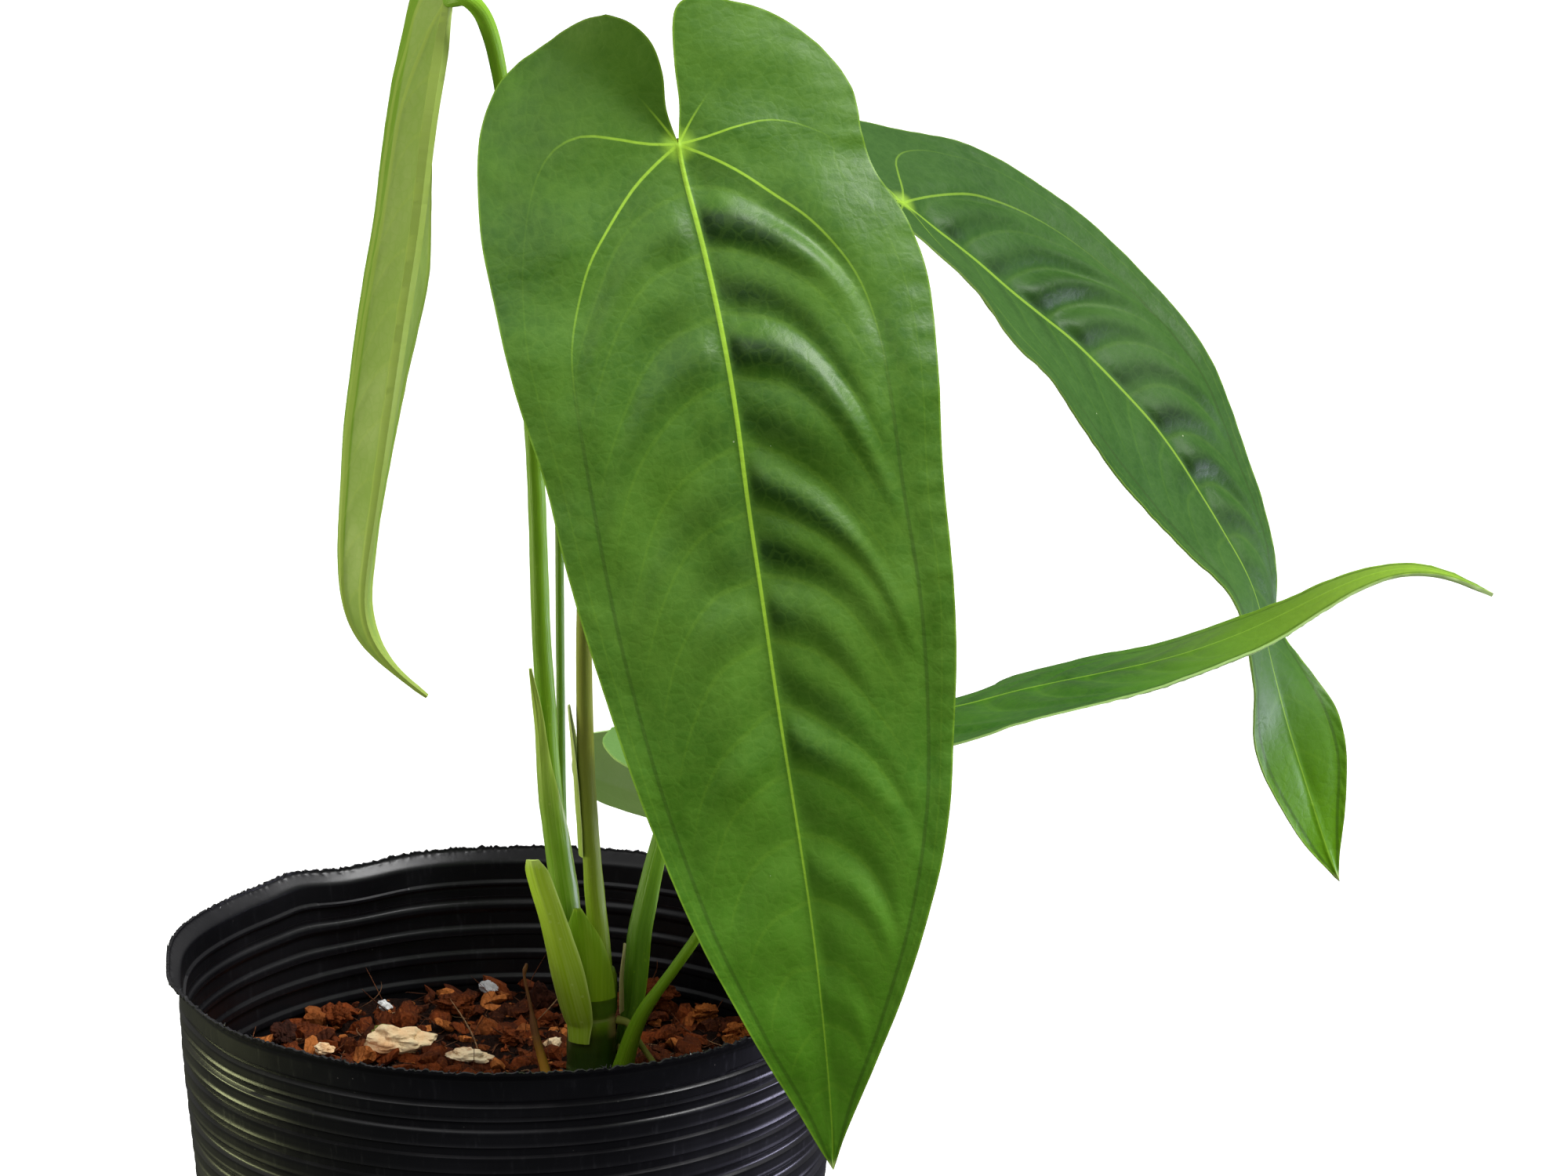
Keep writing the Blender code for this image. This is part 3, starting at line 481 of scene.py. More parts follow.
def lateral_veins_group(vein_line):
    """Repeated lines where a count passes whole numbers."""
    tree, given, out = start_group(
        "Lateral Veins", [("Count", "Float", 0.0), ("Pitch", "Float", 12.0), ("Width", "Float", 0.3)],
        [("Mask", "Float")],
    )
    wave = sums(tree, "PINGPONG", given["Count"], 0.5)
    distance = sums(tree, "MULTIPLY", wave, given["Pitch"])
    line = add(
        tree, "Group", {"node_tree": vein_line}, Distance=distance, Width=given["Width"], Softness=0.35
    )
    tree.links.new(line.outputs["Mask"], out["Mask"])
    return tree


def vein_net_group():
    """The net of the finest veins between the others, in the leaf's own flat measure."""
    tree, given, out = start_group(
        "Vein Net", [("Cell", "Float", 2.2), ("Warp", "Float", 0.8)], [("Mask", "Float"), ("Height", "Float")]
    )
    flat = attribute(tree, "leaf_place").outputs["Vector"]
    warp = add(tree, "TexNoise", Vector=flat, Scale=0.35, Detail=2.0).outputs["Color"]
    moved = add(tree, "VectorMath", {"operation": "MULTIPLY_ADD"}, i0=warp, i1=(1.6, 1.6, 0), i2=flat)
    scale = sums(tree, "DIVIDE", 1.0, given["Cell"])
    cells = add(
        tree, "TexVoronoi", {"feature": "DISTANCE_TO_EDGE"}, Vector=moved.outputs[0], Scale=scale,
        Randomness=given["Warp"],
    )
    mask = spread(tree, cells.outputs["Distance"], 0.02, 0.14, 1.0, 0.0)
    tree.links.new(mask, out["Mask"])
    tree.links.new(sums(tree, "MINIMUM", cells.outputs["Distance"], 0.3), out["Height"])
    return tree


def mottle_group():
    """Soft cloudy variation."""
    tree, given, out = start_group(
        "Mottle", [("Size", "Float", 20.0), ("Detail", "Float", 4.0)], [("Value", "Float")]
    )
    place = add(tree, "TexCoord").outputs["Object"]
    scale = sums(tree, "DIVIDE", 1000.0, given["Size"])
    cloud = add(tree, "TexNoise", Vector=place, Scale=scale, Detail=given["Detail"], Roughness=0.6)
    tree.links.new(spread(tree, cloud.outputs[0], 0.3, 0.7), out["Value"])
    return tree


def speck_group():
    """Small scattered specks."""
    tree, given, out = start_group(
        "Specks", [("Spacing", "Float", 6.0), ("Size", "Float", 0.05), ("Share", "Float", 0.2)],
        [("Mask", "Float")],
    )
    place = add(tree, "TexCoord").outputs["Object"]
    scale = sums(tree, "DIVIDE", 1000.0, given["Spacing"])
    cells = add(tree, "TexVoronoi", Vector=place, Scale=scale)
    near = sums(tree, "LESS_THAN", cells.outputs["Distance"], given["Size"])
    chosen = add(tree, "SeparateColor", Color=cells.outputs["Color"]).outputs[0]
    kept = sums(tree, "LESS_THAN", chosen, given["Share"])
    tree.links.new(sums(tree, "MULTIPLY", near, kept), out["Mask"])
    return tree


def fibre_group():
    """Fine streaks that run up a stalk or along a strand, from its own length and turn."""
    tree, given, out = start_group(
        "Streaks", [("Turns", "Float", 30.0), ("Length", "Float", 40.0)], [("Value", "Float")]
    )
    place = attribute(tree, "stalk_place").outputs["Vector"]
    parts = add(tree, "SeparateXYZ", Vector=place)
    around = sums(tree, "MULTIPLY", parts.outputs[0], given["Turns"])
    up = sums(tree, "DIVIDE", parts.outputs[1], given["Length"])
    joined = add(tree, "CombineXYZ", X=around, Y=up, Z=parts.outputs[2])
    cloud = add(tree, "TexNoise", Vector=joined.outputs[0], Scale=1.0, Detail=3.0)
    tree.links.new(spread(tree, cloud.outputs[0], 0.3, 0.7), out["Value"])
    return tree


VEIN_LINE = vein_line_group()
LATERAL_VEINS = lateral_veins_group(VEIN_LINE)
VEIN_NET = vein_net_group()
MOTTLE = mottle_group()
SPECKS = speck_group()
STREAKS = fibre_group()


def start_material(name):
    """A new material, its tree and its Principled shader."""
    made = bpy.data.materials.new(name)
    made.use_nodes = True
    return made, made.node_tree, made.node_tree.nodes["Principled BSDF"]


def grouped(tree, group, **inputs):
    """The outputs of a shared group, placed with its own values."""
    return add(tree, "Group", {"node_tree": group}, **inputs).outputs


def bumped(tree, shader, height, strength, distance_mm):
    """Raises a material's skin by a height, over a distance in millimetres."""
    made = add(tree, "Bump", Strength=strength, Distance=distance_mm * MM, Height=height)
    tree.links.new(made.outputs[0], shader.inputs["Normal"])


def join(tree, socket, shader, name):
    """Feeds a socket into the shader's input of this name."""
    tree.links.new(socket, shader.inputs[name])


def leaf_upper(
    name, deep, mid, pale, vein, tip, pitch, rough=0.4, tip_from=0.9, laterals=0.1, main=0.85, lobes=None,
    shine=0.36,
):
    """The upper face of a blade: mottled green with painted shade on the hills' flanks that face the tip, pale
    main veins that fade away from the stalk and go on as dark lines of painted crease shade, a faint fine net
    and small pale specks. Where given, its lobes are painted paler: painted light."""
    made, tree, shader = start_material(name)
    cloud = grouped(tree, MOTTLE, Size=28.0)["Value"]
    fine = grouped(tree, MOTTLE, Size=3.0, Detail=6.0)["Value"]
    green = blend(tree, cloud, deep, mid)
    along = attribute(tree, "along").outputs["Fac"]
    across = attribute(tree, "across").outputs["Fac"]
    from_base = attribute(tree, "from_base").outputs["Fac"]
    broad = grouped(tree, MOTTLE, Size=70.0, Detail=2.0)["Value"]
    green = blend(tree, sums(tree, "MULTIPLY", broad, 0.22), green, pale)
    green = blend(tree, sums(tree, "MULTIPLY", fine, 0.2), green, pale)
    # Painted shade: the hills' flanks that face the tip are painted a darker copy of the deep green.
    painted_shade = sums(tree, "MULTIPLY", attribute(tree, "shade").outputs["Fac"], 1.0, clamp=True)
    green = blend(tree, painted_shade, green, tuple(0.45 * part for part in deep))
    # Towards the tip the green turns to the tip colour; where that starts early, it also paints the lower blade
    # lighter: painted light.
    green = blend(tree, spread(tree, along, tip_from, 1.0, 0.0, 0.75), green, tip)
    green = blend(tree, spread(tree, from_base, 0.6, 4.6, 0.75, 0.0), green, vein)
    net = grouped(tree, VEIN_NET, Cell=2.4, Warp=0.8)
    green = blend(tree, sums(tree, "MULTIPLY", net["Mask"], 0.10), green, pale)
    lateral = grouped(
        tree, LATERAL_VEINS, Count=attribute(tree, "lateral").outputs["Fac"], Pitch=pitch * 0.6, Width=0.3
    )["Mask"]
    inner = spread(tree, across, 0.55, 0.85, 1.0, 0.0)
    past_lobes = spread(tree, attribute(tree, "reach_start").outputs["Fac"], 0.0, 8.0)
    lateral = sums(tree, "MULTIPLY", sums(tree, "MULTIPLY", lateral, inner), past_lobes)
    green = blend(tree, sums(tree, "MULTIPLY", lateral, laterals), green, vein)
    for line, width, far, fade in (
        ("basal", 0.3, 0.05, 32.0), ("primary", 0.36, 0.08, 62.0), ("lobe", 0.25, 0.02, 12.0),
    ):
        distance = attribute(tree, line).outputs["Fac"]
        thick = spread(tree, from_base, 0.0, fade, width, 0.1)
        mask = grouped(tree, VEIN_LINE, Distance=distance, Width=thick, Softness=0.22)["Mask"]
        strong = spread(tree, from_base, fade * 0.2, fade, main, far)
        green = blend(tree, sums(tree, "MULTIPLY", mask, strong), green, vein)
    # Painted shade: a dark line along each primary vein, far from the stalk, where the blade is creased.
    painted_crease_shade = grouped(
        tree, VEIN_LINE, Distance=attribute(tree, "primary").outputs["Fac"], Width=0.15, Softness=0.5
    )["Mask"]
    painted_crease_shade = sums(tree, "MULTIPLY", painted_crease_shade, spread(tree, from_base, 40.0, 75.0, 0.0, 0.5))
    green = blend(tree, painted_crease_shade, green, tuple(0.4 * part for part in deep))
    thick = spread(tree, along, 0.0, 0.8, 0.7, 0.15)
    rib = attribute(tree, "midrib").outputs["Fac"]
    mask = grouped(tree, VEIN_LINE, Distance=rib, Width=thick, Softness=0.22)["Mask"]
    behind = spread(tree, along, -0.012, -0.002)
    strong = sums(tree, "MULTIPLY", behind, spread(tree, along, 0.25, 1.0, main + 0.07, 0.4))
    green = blend(tree, sums(tree, "MULTIPLY", mask, strong), green, vein)
    edge = grouped(
        tree, VEIN_LINE, Distance=attribute(tree, "to_margin").outputs["Fac"], Width=0.3, Softness=0.35
    )["Mask"]
    green = blend(tree, sums(tree, "MULTIPLY", edge, 0.3), green, vein)
    speck = grouped(tree, SPECKS, Spacing=7.0, Size=0.03, Share=0.16)["Mask"]
    green = blend(tree, sums(tree, "MULTIPLY", speck, 0.4), green, (0.5, 0.58, 0.35))
    green = blend(tree, spread(tree, along, 0.985, 1.0, 0.0, 0.8), green, (0.5, 0.6, 0.2))
    # Painted light: where given, the lobes are painted paler, as if lit through.
    if lobes:
        green = blend(tree, spread(tree, along, -0.05, 0.0, 0.7, 0.0), green, lobes)
    join(tree, green, shader, "Base Color")
    join(tree, spread(tree, cloud, 0.0, 1.0, rough - 0.05, rough + 0.07), shader, "Roughness")
    shader.inputs["Specular IOR Level"].default_value = shine
    pores = add(tree, "TexNoise", Vector=add(tree, "TexCoord").outputs["Object"], Scale=2500.0, Detail=2.0)
    wrinkle = add(tree, "TexNoise", Vector=add(tree, "TexCoord").outputs["Object"], Scale=420.0, Detail=3.0)
    height = sums(tree, "MULTIPLY", net["Height"], 1.4)
    height = sums(tree, "ADD", height, sums(tree, "MULTIPLY", pores.outputs[0], 0.25))
    height = sums(tree, "ADD", height, sums(tree, "MULTIPLY", wrinkle.outputs[0], 1.6))
    bumped(tree, shader, height, 0.3, 0.25)
    return made


def leaf_under(name, body, strip, vein, pitch, painted_glow=0.0):
    """The lower face of a blade: paler and matt, with a greener strip along the margin and raised veins. It can
    glow
    a little in its own colour: painted light for light that comes through a thin blade."""
    made, tree, shader = start_material(name)
    cloud = grouped(tree, MOTTLE, Size=18.0)["Value"]
    across = attribute(tree, "across").outputs["Fac"]
    green = blend(tree, sums(tree, "MULTIPLY", cloud, 0.3), body, strip)
    green = blend(tree, spread(tree, across, 0.74, 0.79, 0.0, 0.85), green, strip)
    lateral = grouped(
        tree, LATERAL_VEINS, Count=attribute(tree, "lateral").outputs["Fac"], Pitch=pitch * 0.6, Width=0.3
    )["Mask"]
    green = blend(tree, sums(tree, "MULTIPLY", lateral, 0.22), green, vein)
    net = grouped(tree, VEIN_NET, Cell=2.4, Warp=0.8)
    green = blend(tree, sums(tree, "MULTIPLY", net["Mask"], 0.12), green, strip)
    for line, width in (("primary", 0.7), ("basal", 0.5), ("midrib", 1.6)):
        distance = attribute(tree, line).outputs["Fac"]
        mask = grouped(tree, VEIN_LINE, Distance=distance, Width=width, Softness=0.4)["Mask"]
        green = blend(tree, sums(tree, "MULTIPLY", mask, 0.6), green, vein)
    join(tree, green, shader, "Base Color")
    join(tree, spread(tree, cloud, 0.0, 1.0, 0.55, 0.68), shader, "Roughness")
    shader.inputs["Specular IOR Level"].default_value = 0.25
    # Painted light: a glow in the face's own colour.
    if painted_glow:
        join(tree, green, shader, "Emission Color")
        shader.inputs["Emission Strength"].default_value = painted_glow
    bumped(tree, shader, net["Height"], 0.3, 0.25)
    return made


def stalk_finish(name, low, high, edge, rough=0.4, low_z=0.0, high_z=1.0):
    """A fleshy stalk or bract: colour that changes with height, fine streaks up it and pale freckles."""
    made, tree, shader = start_material(name)
    place = add(tree, "TexCoord").outputs["Object"]
    height = add(tree, "SeparateXYZ", Vector=place).outputs[2]
    green = blend(tree, spread(tree, height, low_z * MM, high_z * MM), low, high)
    streak = grouped(tree, STREAKS, Turns=14.0, Length=30.0)["Value"]
    green = blend(tree, sums(tree, "MULTIPLY", streak, 0.22), green, edge)
    rim = attribute(tree, "rim").outputs["Fac"]
    green = blend(tree, sums(tree, "MULTIPLY", rim, 0.7), green, edge)
    speck = grouped(tree, SPECKS, Spacing=2.2, Size=0.16, Share=0.3)["Mask"]
    green = blend(tree, sums(tree, "MULTIPLY", speck, 0.25), green, edge)
    join(tree, green, shader, "Base Color")
    join(tree, spread(tree, streak, 0.0, 1.0, rough - 0.04, rough + 0.08), shader, "Roughness")
    shader.inputs["Specular IOR Level"].default_value = 0.35
    bumped(tree, shader, streak, 0.25, 0.3)
    return made


# ---- Pieces ----


def mesh_of(name, points, faces, smooth=True, sharp=None):
    """A mesh from points in millimetres, in the part's own frame."""
    mesh = bpy.data.meshes.new(name)
    mesh.from_pydata((np.asarray(points) * MM).tolist(), [], faces)
    if smooth:
        mesh.shade_smooth()
    if sharp:
        mesh.set_sharp_from_angle(angle=math.radians(sharp))
    return mesh


def set_values(mesh, name, values):
    """A value at each point of a mesh, for its finish to read."""
    values = np.asarray(values, np.float32)
    kind = "FLOAT_VECTOR" if values.ndim == 2 else "FLOAT"
    made = mesh.attributes.new(name, kind, "POINT")
    made.data.foreach_set("vector" if values.ndim == 2 else "value", values.ravel())


def piece(name, mesh, finishes, node):
    """An object that rides on the part and stands for one of its nodes."""
    made = bpy.data.objects.new(name, mesh)
    bpy.context.scene.collection.objects.link(made)
    for finish in finishes:
        mesh.materials.append(finish)
    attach(made, "root")
    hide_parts(node)
    return made


def grid_faces(rows, columns, start=0, flip=False, wrap=False):
    """Faces of a grid of points listed row by row."""
    faces = []
    for i in range(rows - 1):
        for j in range(columns if wrap else columns - 1):
            a = start + i * columns + j
            b = start + i * columns + (j + 1) % columns
            c, d = b + columns, a + columns
            faces.append((a, d, c, b) if flip else (a, b, c, d))
    return faces


def flat_place(side, s, t):
    """A blade's own flat measure, both halves in one: distance along the midrib and signed distance out."""
    return np.stack([s, side * t, np.zeros(len(s))], axis=1)


def hill_kind(look, fields):
    """How high each hill stands beside its neighbours, in turn down the blade."""
    kinds = np.array(look["unlike"])
    return kinds[np.mod(np.floor(fields["lateral"]).astype(int), len(kinds))]


def hill_strength(look, fields, place, length):
    """Where the hills stand: from the midrib out to an uneven line, past the lobes, less towards the tip."""
    q, s = fields["across"], place[:, 0]
    far = look["far"] + 0.16 * np.sin(2.4 * fields["lateral"] + look["seed"])
    strength = ease(0.0, 0.1, q) * (1 - ease(far - 0.5, far, q)) * ease(-10, 12, fields["reach_start"])
    strength *= 1 - ease(look["until"] - 0.2, look["until"], s / length)
    strength *= 1 - 0.45 * ease(0.3, 0.8, s / length)
    return strength * (1 + 0.9 * waves(place, 19, look["seed"] + 5))


def painted_flank_shade(look, fields, place, side, length):
    """Painted shade: how much darker green is painted on each hill's flank that faces the tip, most of all near
    the midrib.
    """
    q, s = fields["across"], place[:, 0]
    far = look["far"] + 0.16 * np.sin(2.4 * fields["lateral"] + look["seed"])
    flank = fields["lateral"] - np.floor(fields["lateral"])
    shade = np.exp(-(((flank - 0.64) / 0.24) ** 2)) * (0.35 + 0.65 * hill_kind(look, fields))
    shade = shade * ease(0.0, 0.05, q) * (1 - ease(0.08, far - 0.08, q)) * ease(-4, 16, fields["reach_start"])
    shade = shade * (1 - 0.65 * ease(0.35, 0.8, s / length))
    shade = shade * (1 - ease(look["until"] - 0.2, look["until"], s / length))
    shade = shade * (1 + 0.8 * waves(place, 15, look["seed"] + 9))
    return shade * np.where(side > 0, look["shade"][1], look["shade"][-1])


def blade_relief(look, fields, side, s, t, length):
    """How far a blade's surface stands out of its plain shape, and how strong its hills are there."""
    q, lateral = fields["across"], fields["lateral"]
    place = flat_place(side, s, t)
    height = np.where(side > 0, look["quilt"][1], look["quilt"][-1])
    hump = np.abs(np.sin(math.pi * lateral)) ** 1.5 * hill_kind(look, fields)
    hills = hill_strength(look, fields, place, length)
    # The painted shade on the hills' tip-facing flanks, kept for the upper face's colour.
    fields["shade"] = painted_flank_shade(look, fields, place, side, length)
    lift = height * (hump - 0.5 - look["double"] * np.cos(math.pi * lateral)) * hills
    lift += 0.1 * height * np.sin(4 * math.pi * lateral) * ease(0.8, 0.95, q) * (1 - ease(0.97, 1, q))
    # Swells, lumps and fine wrinkles: share of the wave's height, size, seed, and where across they start
    # and are whole.
    for share, size, seed, begin, whole in (
        (1.0, 34, 0, 0.05, 0.5), (0.8, 17, 11, 0.04, 0.3), (0.3, 11, 7, 0.03, 0.2), (0.22, 3.6, 3, 0.7, 0.92),
    ):
        lift += share * look["wave"] * waves(place, size, look["seed"] + seed) * ease(begin, whole, q)
    lift -= 0.35 * height * np.exp(-((fields["primary"] / 2.4) ** 2)) * ease(4, 30, fields["from_base"])
    lift -= 0.7 * np.exp(-((t / 3.0) ** 2)) * ease(0, 12, s) * (1 - ease(0.5, 1, s / length))
    return lift + look["fold"](side, s, t), hills


def leaf(name, finishes, look):
    """A blade: a fine grid over its two halves, with raised and sunk veins and quilting between them."""
    shape = LeafShape(LEAVES[name])
    columns, rows = look["columns"], look["rows"]
    half_shares = np.linspace(0, 1, columns + 1) ** 1.35  # closer together towards the midrib
    shares = np.concatenate([-half_shares[:0:-1], half_shares])
    wide = len(shares)
    down = np.linspace(0, 1, rows + 1)
    x = np.tile(shares, rows + 1)
    v = np.repeat(down, wide)
    side = np.where(x >= 0, 1, -1)
    points = np.zeros((len(x), 3))
    flat = np.zeros((len(x), 2))
    fields = {}
    for which in (1, -1):
        chosen = side == which
        here = shape.flat(which, np.abs(x[chosen]), v[chosen])
        flat[chosen] = here
        points[chosen] = shape.place(which, here) + (0, 0, PLANT_FOOT)
        for key, value in leaf_fields(shape, which, here, look["pitch"], look["first"][which]).items():
            fields.setdefault(key, np.zeros(len(x)))[chosen] = value
    sheet = points.reshape(rows + 1, wide, 3)
    ahead = unit(np.gradient(sheet, axis=0))
    across = unit(np.gradient(sheet, axis=1))
    normal = unit(np.cross(ahead, across))
    normal[-1] = normal[-2]
    normal[0] = normal[1]
    normal = normal.reshape(-1, 3)

    s, t = flat[:, 0], flat[:, 1]
    lift, hills = blade_relief(look, fields, side, s, t, shape.length)
    fade = np.exp(-fields["from_base"] / 45)
    ribs = 0.35 * np.exp(-((t / 0.55) ** 2)) * ease(-1, 1, s) * (1 - 0.7 * s / shape.length)
    mains = np.exp(-((fields["primary"] / 1.1) ** 2)) + 0.8 * np.exp(-((fields["basal"] / 1.0) ** 2))
    upper = points + normal * (lift + LEAF_THICKNESS / 2 + ribs + 0.15 * mains * fade)[:, None]
    keel = 0.9 * np.exp(-((t / 0.9) ** 2)) * ease(-1, 2, s) * (1 - 0.75 * s / shape.length)
    raised = 0.35 * np.exp(-((fields["primary"] / 0.6) ** 2)) + 0.25 * np.exp(-((fields["basal"] / 0.5) ** 2))
    crossing = np.abs(np.mod(fields["lateral"] + 0.5, 1) - 0.5) * look["pitch"] * 0.6
    raised += 0.12 * np.exp(-((crossing / 0.6) ** 2)) * hills
    thin = ease(0, 0.8, fields["to_margin"])
    lower = points + normal * (lift - LEAF_THICKNESS / 2 - keel - raised * thin)[:, None]

    total = len(x)
    place = flat_place(side, s, t)
    faces = grid_faces(rows + 1, wide, flip=True) + grid_faces(rows + 1, wide, start=total)
    for i in range(rows):
        left, below = i * wide, (i + 1) * wide
        faces.append((left, left + total, below + total, below))
        right, beneath = left + wide - 1, below + wide - 1
        faces.append((right, beneath, beneath + total, right + total))
    for j in range(wide - 1):
        faces.append((j, j + 1, j + 1 + total, j + total))
    mesh = mesh_of(name + "_fine", np.vstack([upper, lower]), faces)
    for key, value in fields.items():
        set_values(mesh, key, np.concatenate([value, value]))
    set_values(mesh, "leaf_place", np.tile(place, (2, 1)))
    under = np.zeros(len(faces), np.int32)
    under[rows * (wide - 1):] = 1
    mesh.polygons.foreach_set("material_index", under)
    weld = bmesh.new()
    weld.from_mesh(mesh)
    bmesh.ops.remove_doubles(weld, verts=weld.verts, dist=0.002 * MM)
    weld.to_mesh(mesh)
    weld.free()
    mesh.set_sharp_from_angle(angle=math.radians(55))
    return piece(name + "_fine", mesh, finishes, name)


def lobe_fold(side, s, t):
    """The front blade's left lobe is creased, and its inner part comes forward from the crease."""
    angle = np.degrees(np.arctan2(-s, np.maximum(t, 1e-6)))
    reach = np.hypot(s, t)
    past = ease(36, 95, angle)
    return np.where((side < 0) & (s < 0), 0.3 * reach * past, 0.0)


def no_fold(side, s, t):
    """A blade whose lobes aren't creased."""
    return np.zeros(len(s))


def line_frame(line):
    """Headings along a line, and a side that turns with it as little as it can."""
    heading = unit(np.gradient(line, axis=0))
    side = np.cross(heading[0], (0.0, -1.0, 0.2))
    sides = []
    for way in heading:
        side = side - way * (side @ way)
        side = side / np.linalg.norm(side)
        sides.append(side)
    sides = np.array(sides)
    return heading, sides, np.cross(heading, sides)


def stalk(name, node, route, radii, finish, rings=120, around=20, groove=0.0, wobble=0.04, seed=0):
    """A round stalk along a route, tapered by (share, radius) rows, with a shallow groove and uneven skin."""
    line = smooth_line(route, rings)
    _, side, front = line_frame(line)
    share = np.linspace(0, 1, rings)
    radius = np.interp(share, [row[0] for row in radii], [row[1] for row in radii])
    run = run_along(line)
    turn = np.linspace(0, 2 * math.pi, around, endpoint=False)
    dent = 1 - groove * np.exp(-(((turn - math.pi / 2) / 0.5) ** 2))
    points, places = [], []
    for i in range(rings):
        ring = radius[i] * dent
        rough = np.array([
            noise.noise(Vector((math.cos(a) * 1.2, math.sin(a) * 1.2, run[i] / 6 + seed * 9))) for a in turn
        ])
        ring = ring * (1 + wobble * rough)
        out = np.cos(turn)[:, None] * side[i] + np.sin(turn)[:, None] * front[i]
        points.append(line[i] + ring[:, None] * out)
        places.append(np.stack([np.cos(turn), np.full(around, run[i]), np.sin(turn)], axis=1))
    points = np.concatenate(points)
    places = np.concatenate(places)
    points = np.vstack([points, line[0], line[-1]])
    places = np.vstack([places, [0, 0, 0], [0, run[-1], 0]])
    faces = grid_faces(rings, around, flip=True, wrap=True)
    last = (rings - 1) * around
    for j in range(around):
        k = (j + 1) % around
        faces.append((rings * around, j, k))
        faces.append((rings * around + 1, last + k, last + j))
    points = points + (0, 0, PLANT_FOOT)
    mesh = mesh_of(name, points, faces, sharp=50)
    set_values(mesh, "stalk_place", places)
    set_values(mesh, "rim", np.zeros(len(points)))
    return piece(name, mesh, [finish], node)


def bract(name, node, route, radii, facing, half_angles, finish, columns=24, rows=70):
    """A thin bract that wraps a route, its edges thinner and paler than its middle."""
    line = smooth_line(route, rows + 1)
    heading = unit(np.gradient(line, axis=0))
    front = unit(np.asarray(facing, float) - heading * (heading @ np.asarray(facing, float))[:, None])
    side = np.cross(heading, front)
    share = np.linspace(0, 1, rows + 1)
    radius = smooth_rows(radii, share)
    half = np.radians(smooth_rows(half_angles, share))
    run = run_along(line)
    x = np.linspace(-1, 1, columns + 1)
    thick = 0.5 * (1 - 0.75 * np.abs(x) ** 3)
    inner, outer, places, rims = [], [], [], []
    for i in range(rows + 1):
        angle = half[i] * x
        out = np.cos(angle)[:, None] * front[i] + np.sin(angle)[:, None] * side[i]
        ridge = 0.12 * np.exp(-((x / 0.12) ** 2))
        rough = np.array([0.1 * noise.noise(Vector((a * 2.5, run[i] / 5, len(name)))) for a in x])
        middle = radius[i] + 0.25 + rough
        inner.append(line[i] + (middle - thick / 2)[:, None] * out)
        outer.append(line[i] + (middle + thick / 2 + ridge)[:, None] * out)
        places.append(np.stack([np.sin(angle), np.full(columns + 1, run[i]), np.cos(angle)], axis=1))
        edge = np.maximum(ease(0.86, 1.0, np.abs(x)), ease(0.95, 1.0, np.full(columns + 1, share[i])))
        rims.append(edge)
    wide = columns + 1
    total = wide * (rows + 1)
    faces = grid_faces(rows + 1, wide, start=0) + grid_faces(rows + 1, wide, start=total, flip=True)
    for i in range(rows):
        a, b = i * wide, (i + 1) * wide
        faces.append((a, a + total, b + total, b))
        faces.append((a + wide - 1, b + wide - 1, b + wide - 1 + total, a + wide - 1 + total))
    for j in range(wide - 1):
        faces.append((j, j + 1, j + 1 + total, j + total))
        k = rows * wide + j
        faces.append((k, k + total, k + 1 + total, k + 1))
    points = np.vstack([np.concatenate(inner), np.concatenate(outer)]) + (0, 0, PLANT_FOOT)
    mesh = mesh_of(name, points, faces, sharp=60)
    set_values(mesh, "stalk_place", np.tile(np.concatenate(places), (2, 1)))
    set_values(mesh, "rim", np.tile(np.concatenate(rims), 2))
    fix_outward(mesh)
    return piece(name, mesh, [finish], node)


def fix_outward(mesh):
    """Turns every face of a closed mesh outward."""
    shell = bmesh.new()
    shell.from_mesh(mesh)
    bmesh.ops.recalc_face_normals(shell, faces=shell.faces)
    shell.to_mesh(mesh)
    shell.free()


def smooth_rows(values, share):
    """Evenly spaced values, smoothly joined, read at shares."""
    values = np.asarray(values, float)[:, None]
    return spline_points(values, share * (len(values) - 1))[:, 0]


def beside_stem(degrees, height, clearance):
    """A point this far off the stem's side, at a height in the plant's measure."""
    out = STEM_RADIUS + 0.3 + clearance
    angle = math.radians(degrees)
    return (STEM_X + out * math.cos(angle), STEM_Y + out * math.sin(angle), height)


def on_stem(share_x, share_y, height=0.0):
    """A point on the stem's cut top, or this far over it."""
    return (STEM_X + share_x * STEM_RADIUS, STEM_Y + share_y * STEM_RADIUS, STEM_HEIGHT + 0.3 + height)


def under_leaf(name, depth):
    """A point this far below a blade where its stalk joins, in the plant's measure."""
    shape = LeafShape(LEAVES[name])
    near = np.array([[0.0, 0.5]])
    foot, heading = shape.along(np.array([0.0]))
    across = unit(shape.place(1, near) - shape.place(-1, near))
    up = np.cross(heading, across)
    return tuple((foot - up * (LEAF_THICKNESS / 2 + depth))[0])


def turned_points(profile, around, x=0.0, y=0.0):
    """Points of a profile of (radius, height) turned about an upright line."""
    turn = np.linspace(0, 2 * math.pi, around, endpoint=False)
    profile = np.asarray(profile, float)
    points = np.zeros((len(profile), around, 3))
    points[:, :, 0] = x + profile[:, :1] * np.cos(turn)
    points[:, :, 1] = y + profile[:, :1] * np.sin(turn)
    points[:, :, 2] = profile[:, 1:]
    return points, turn


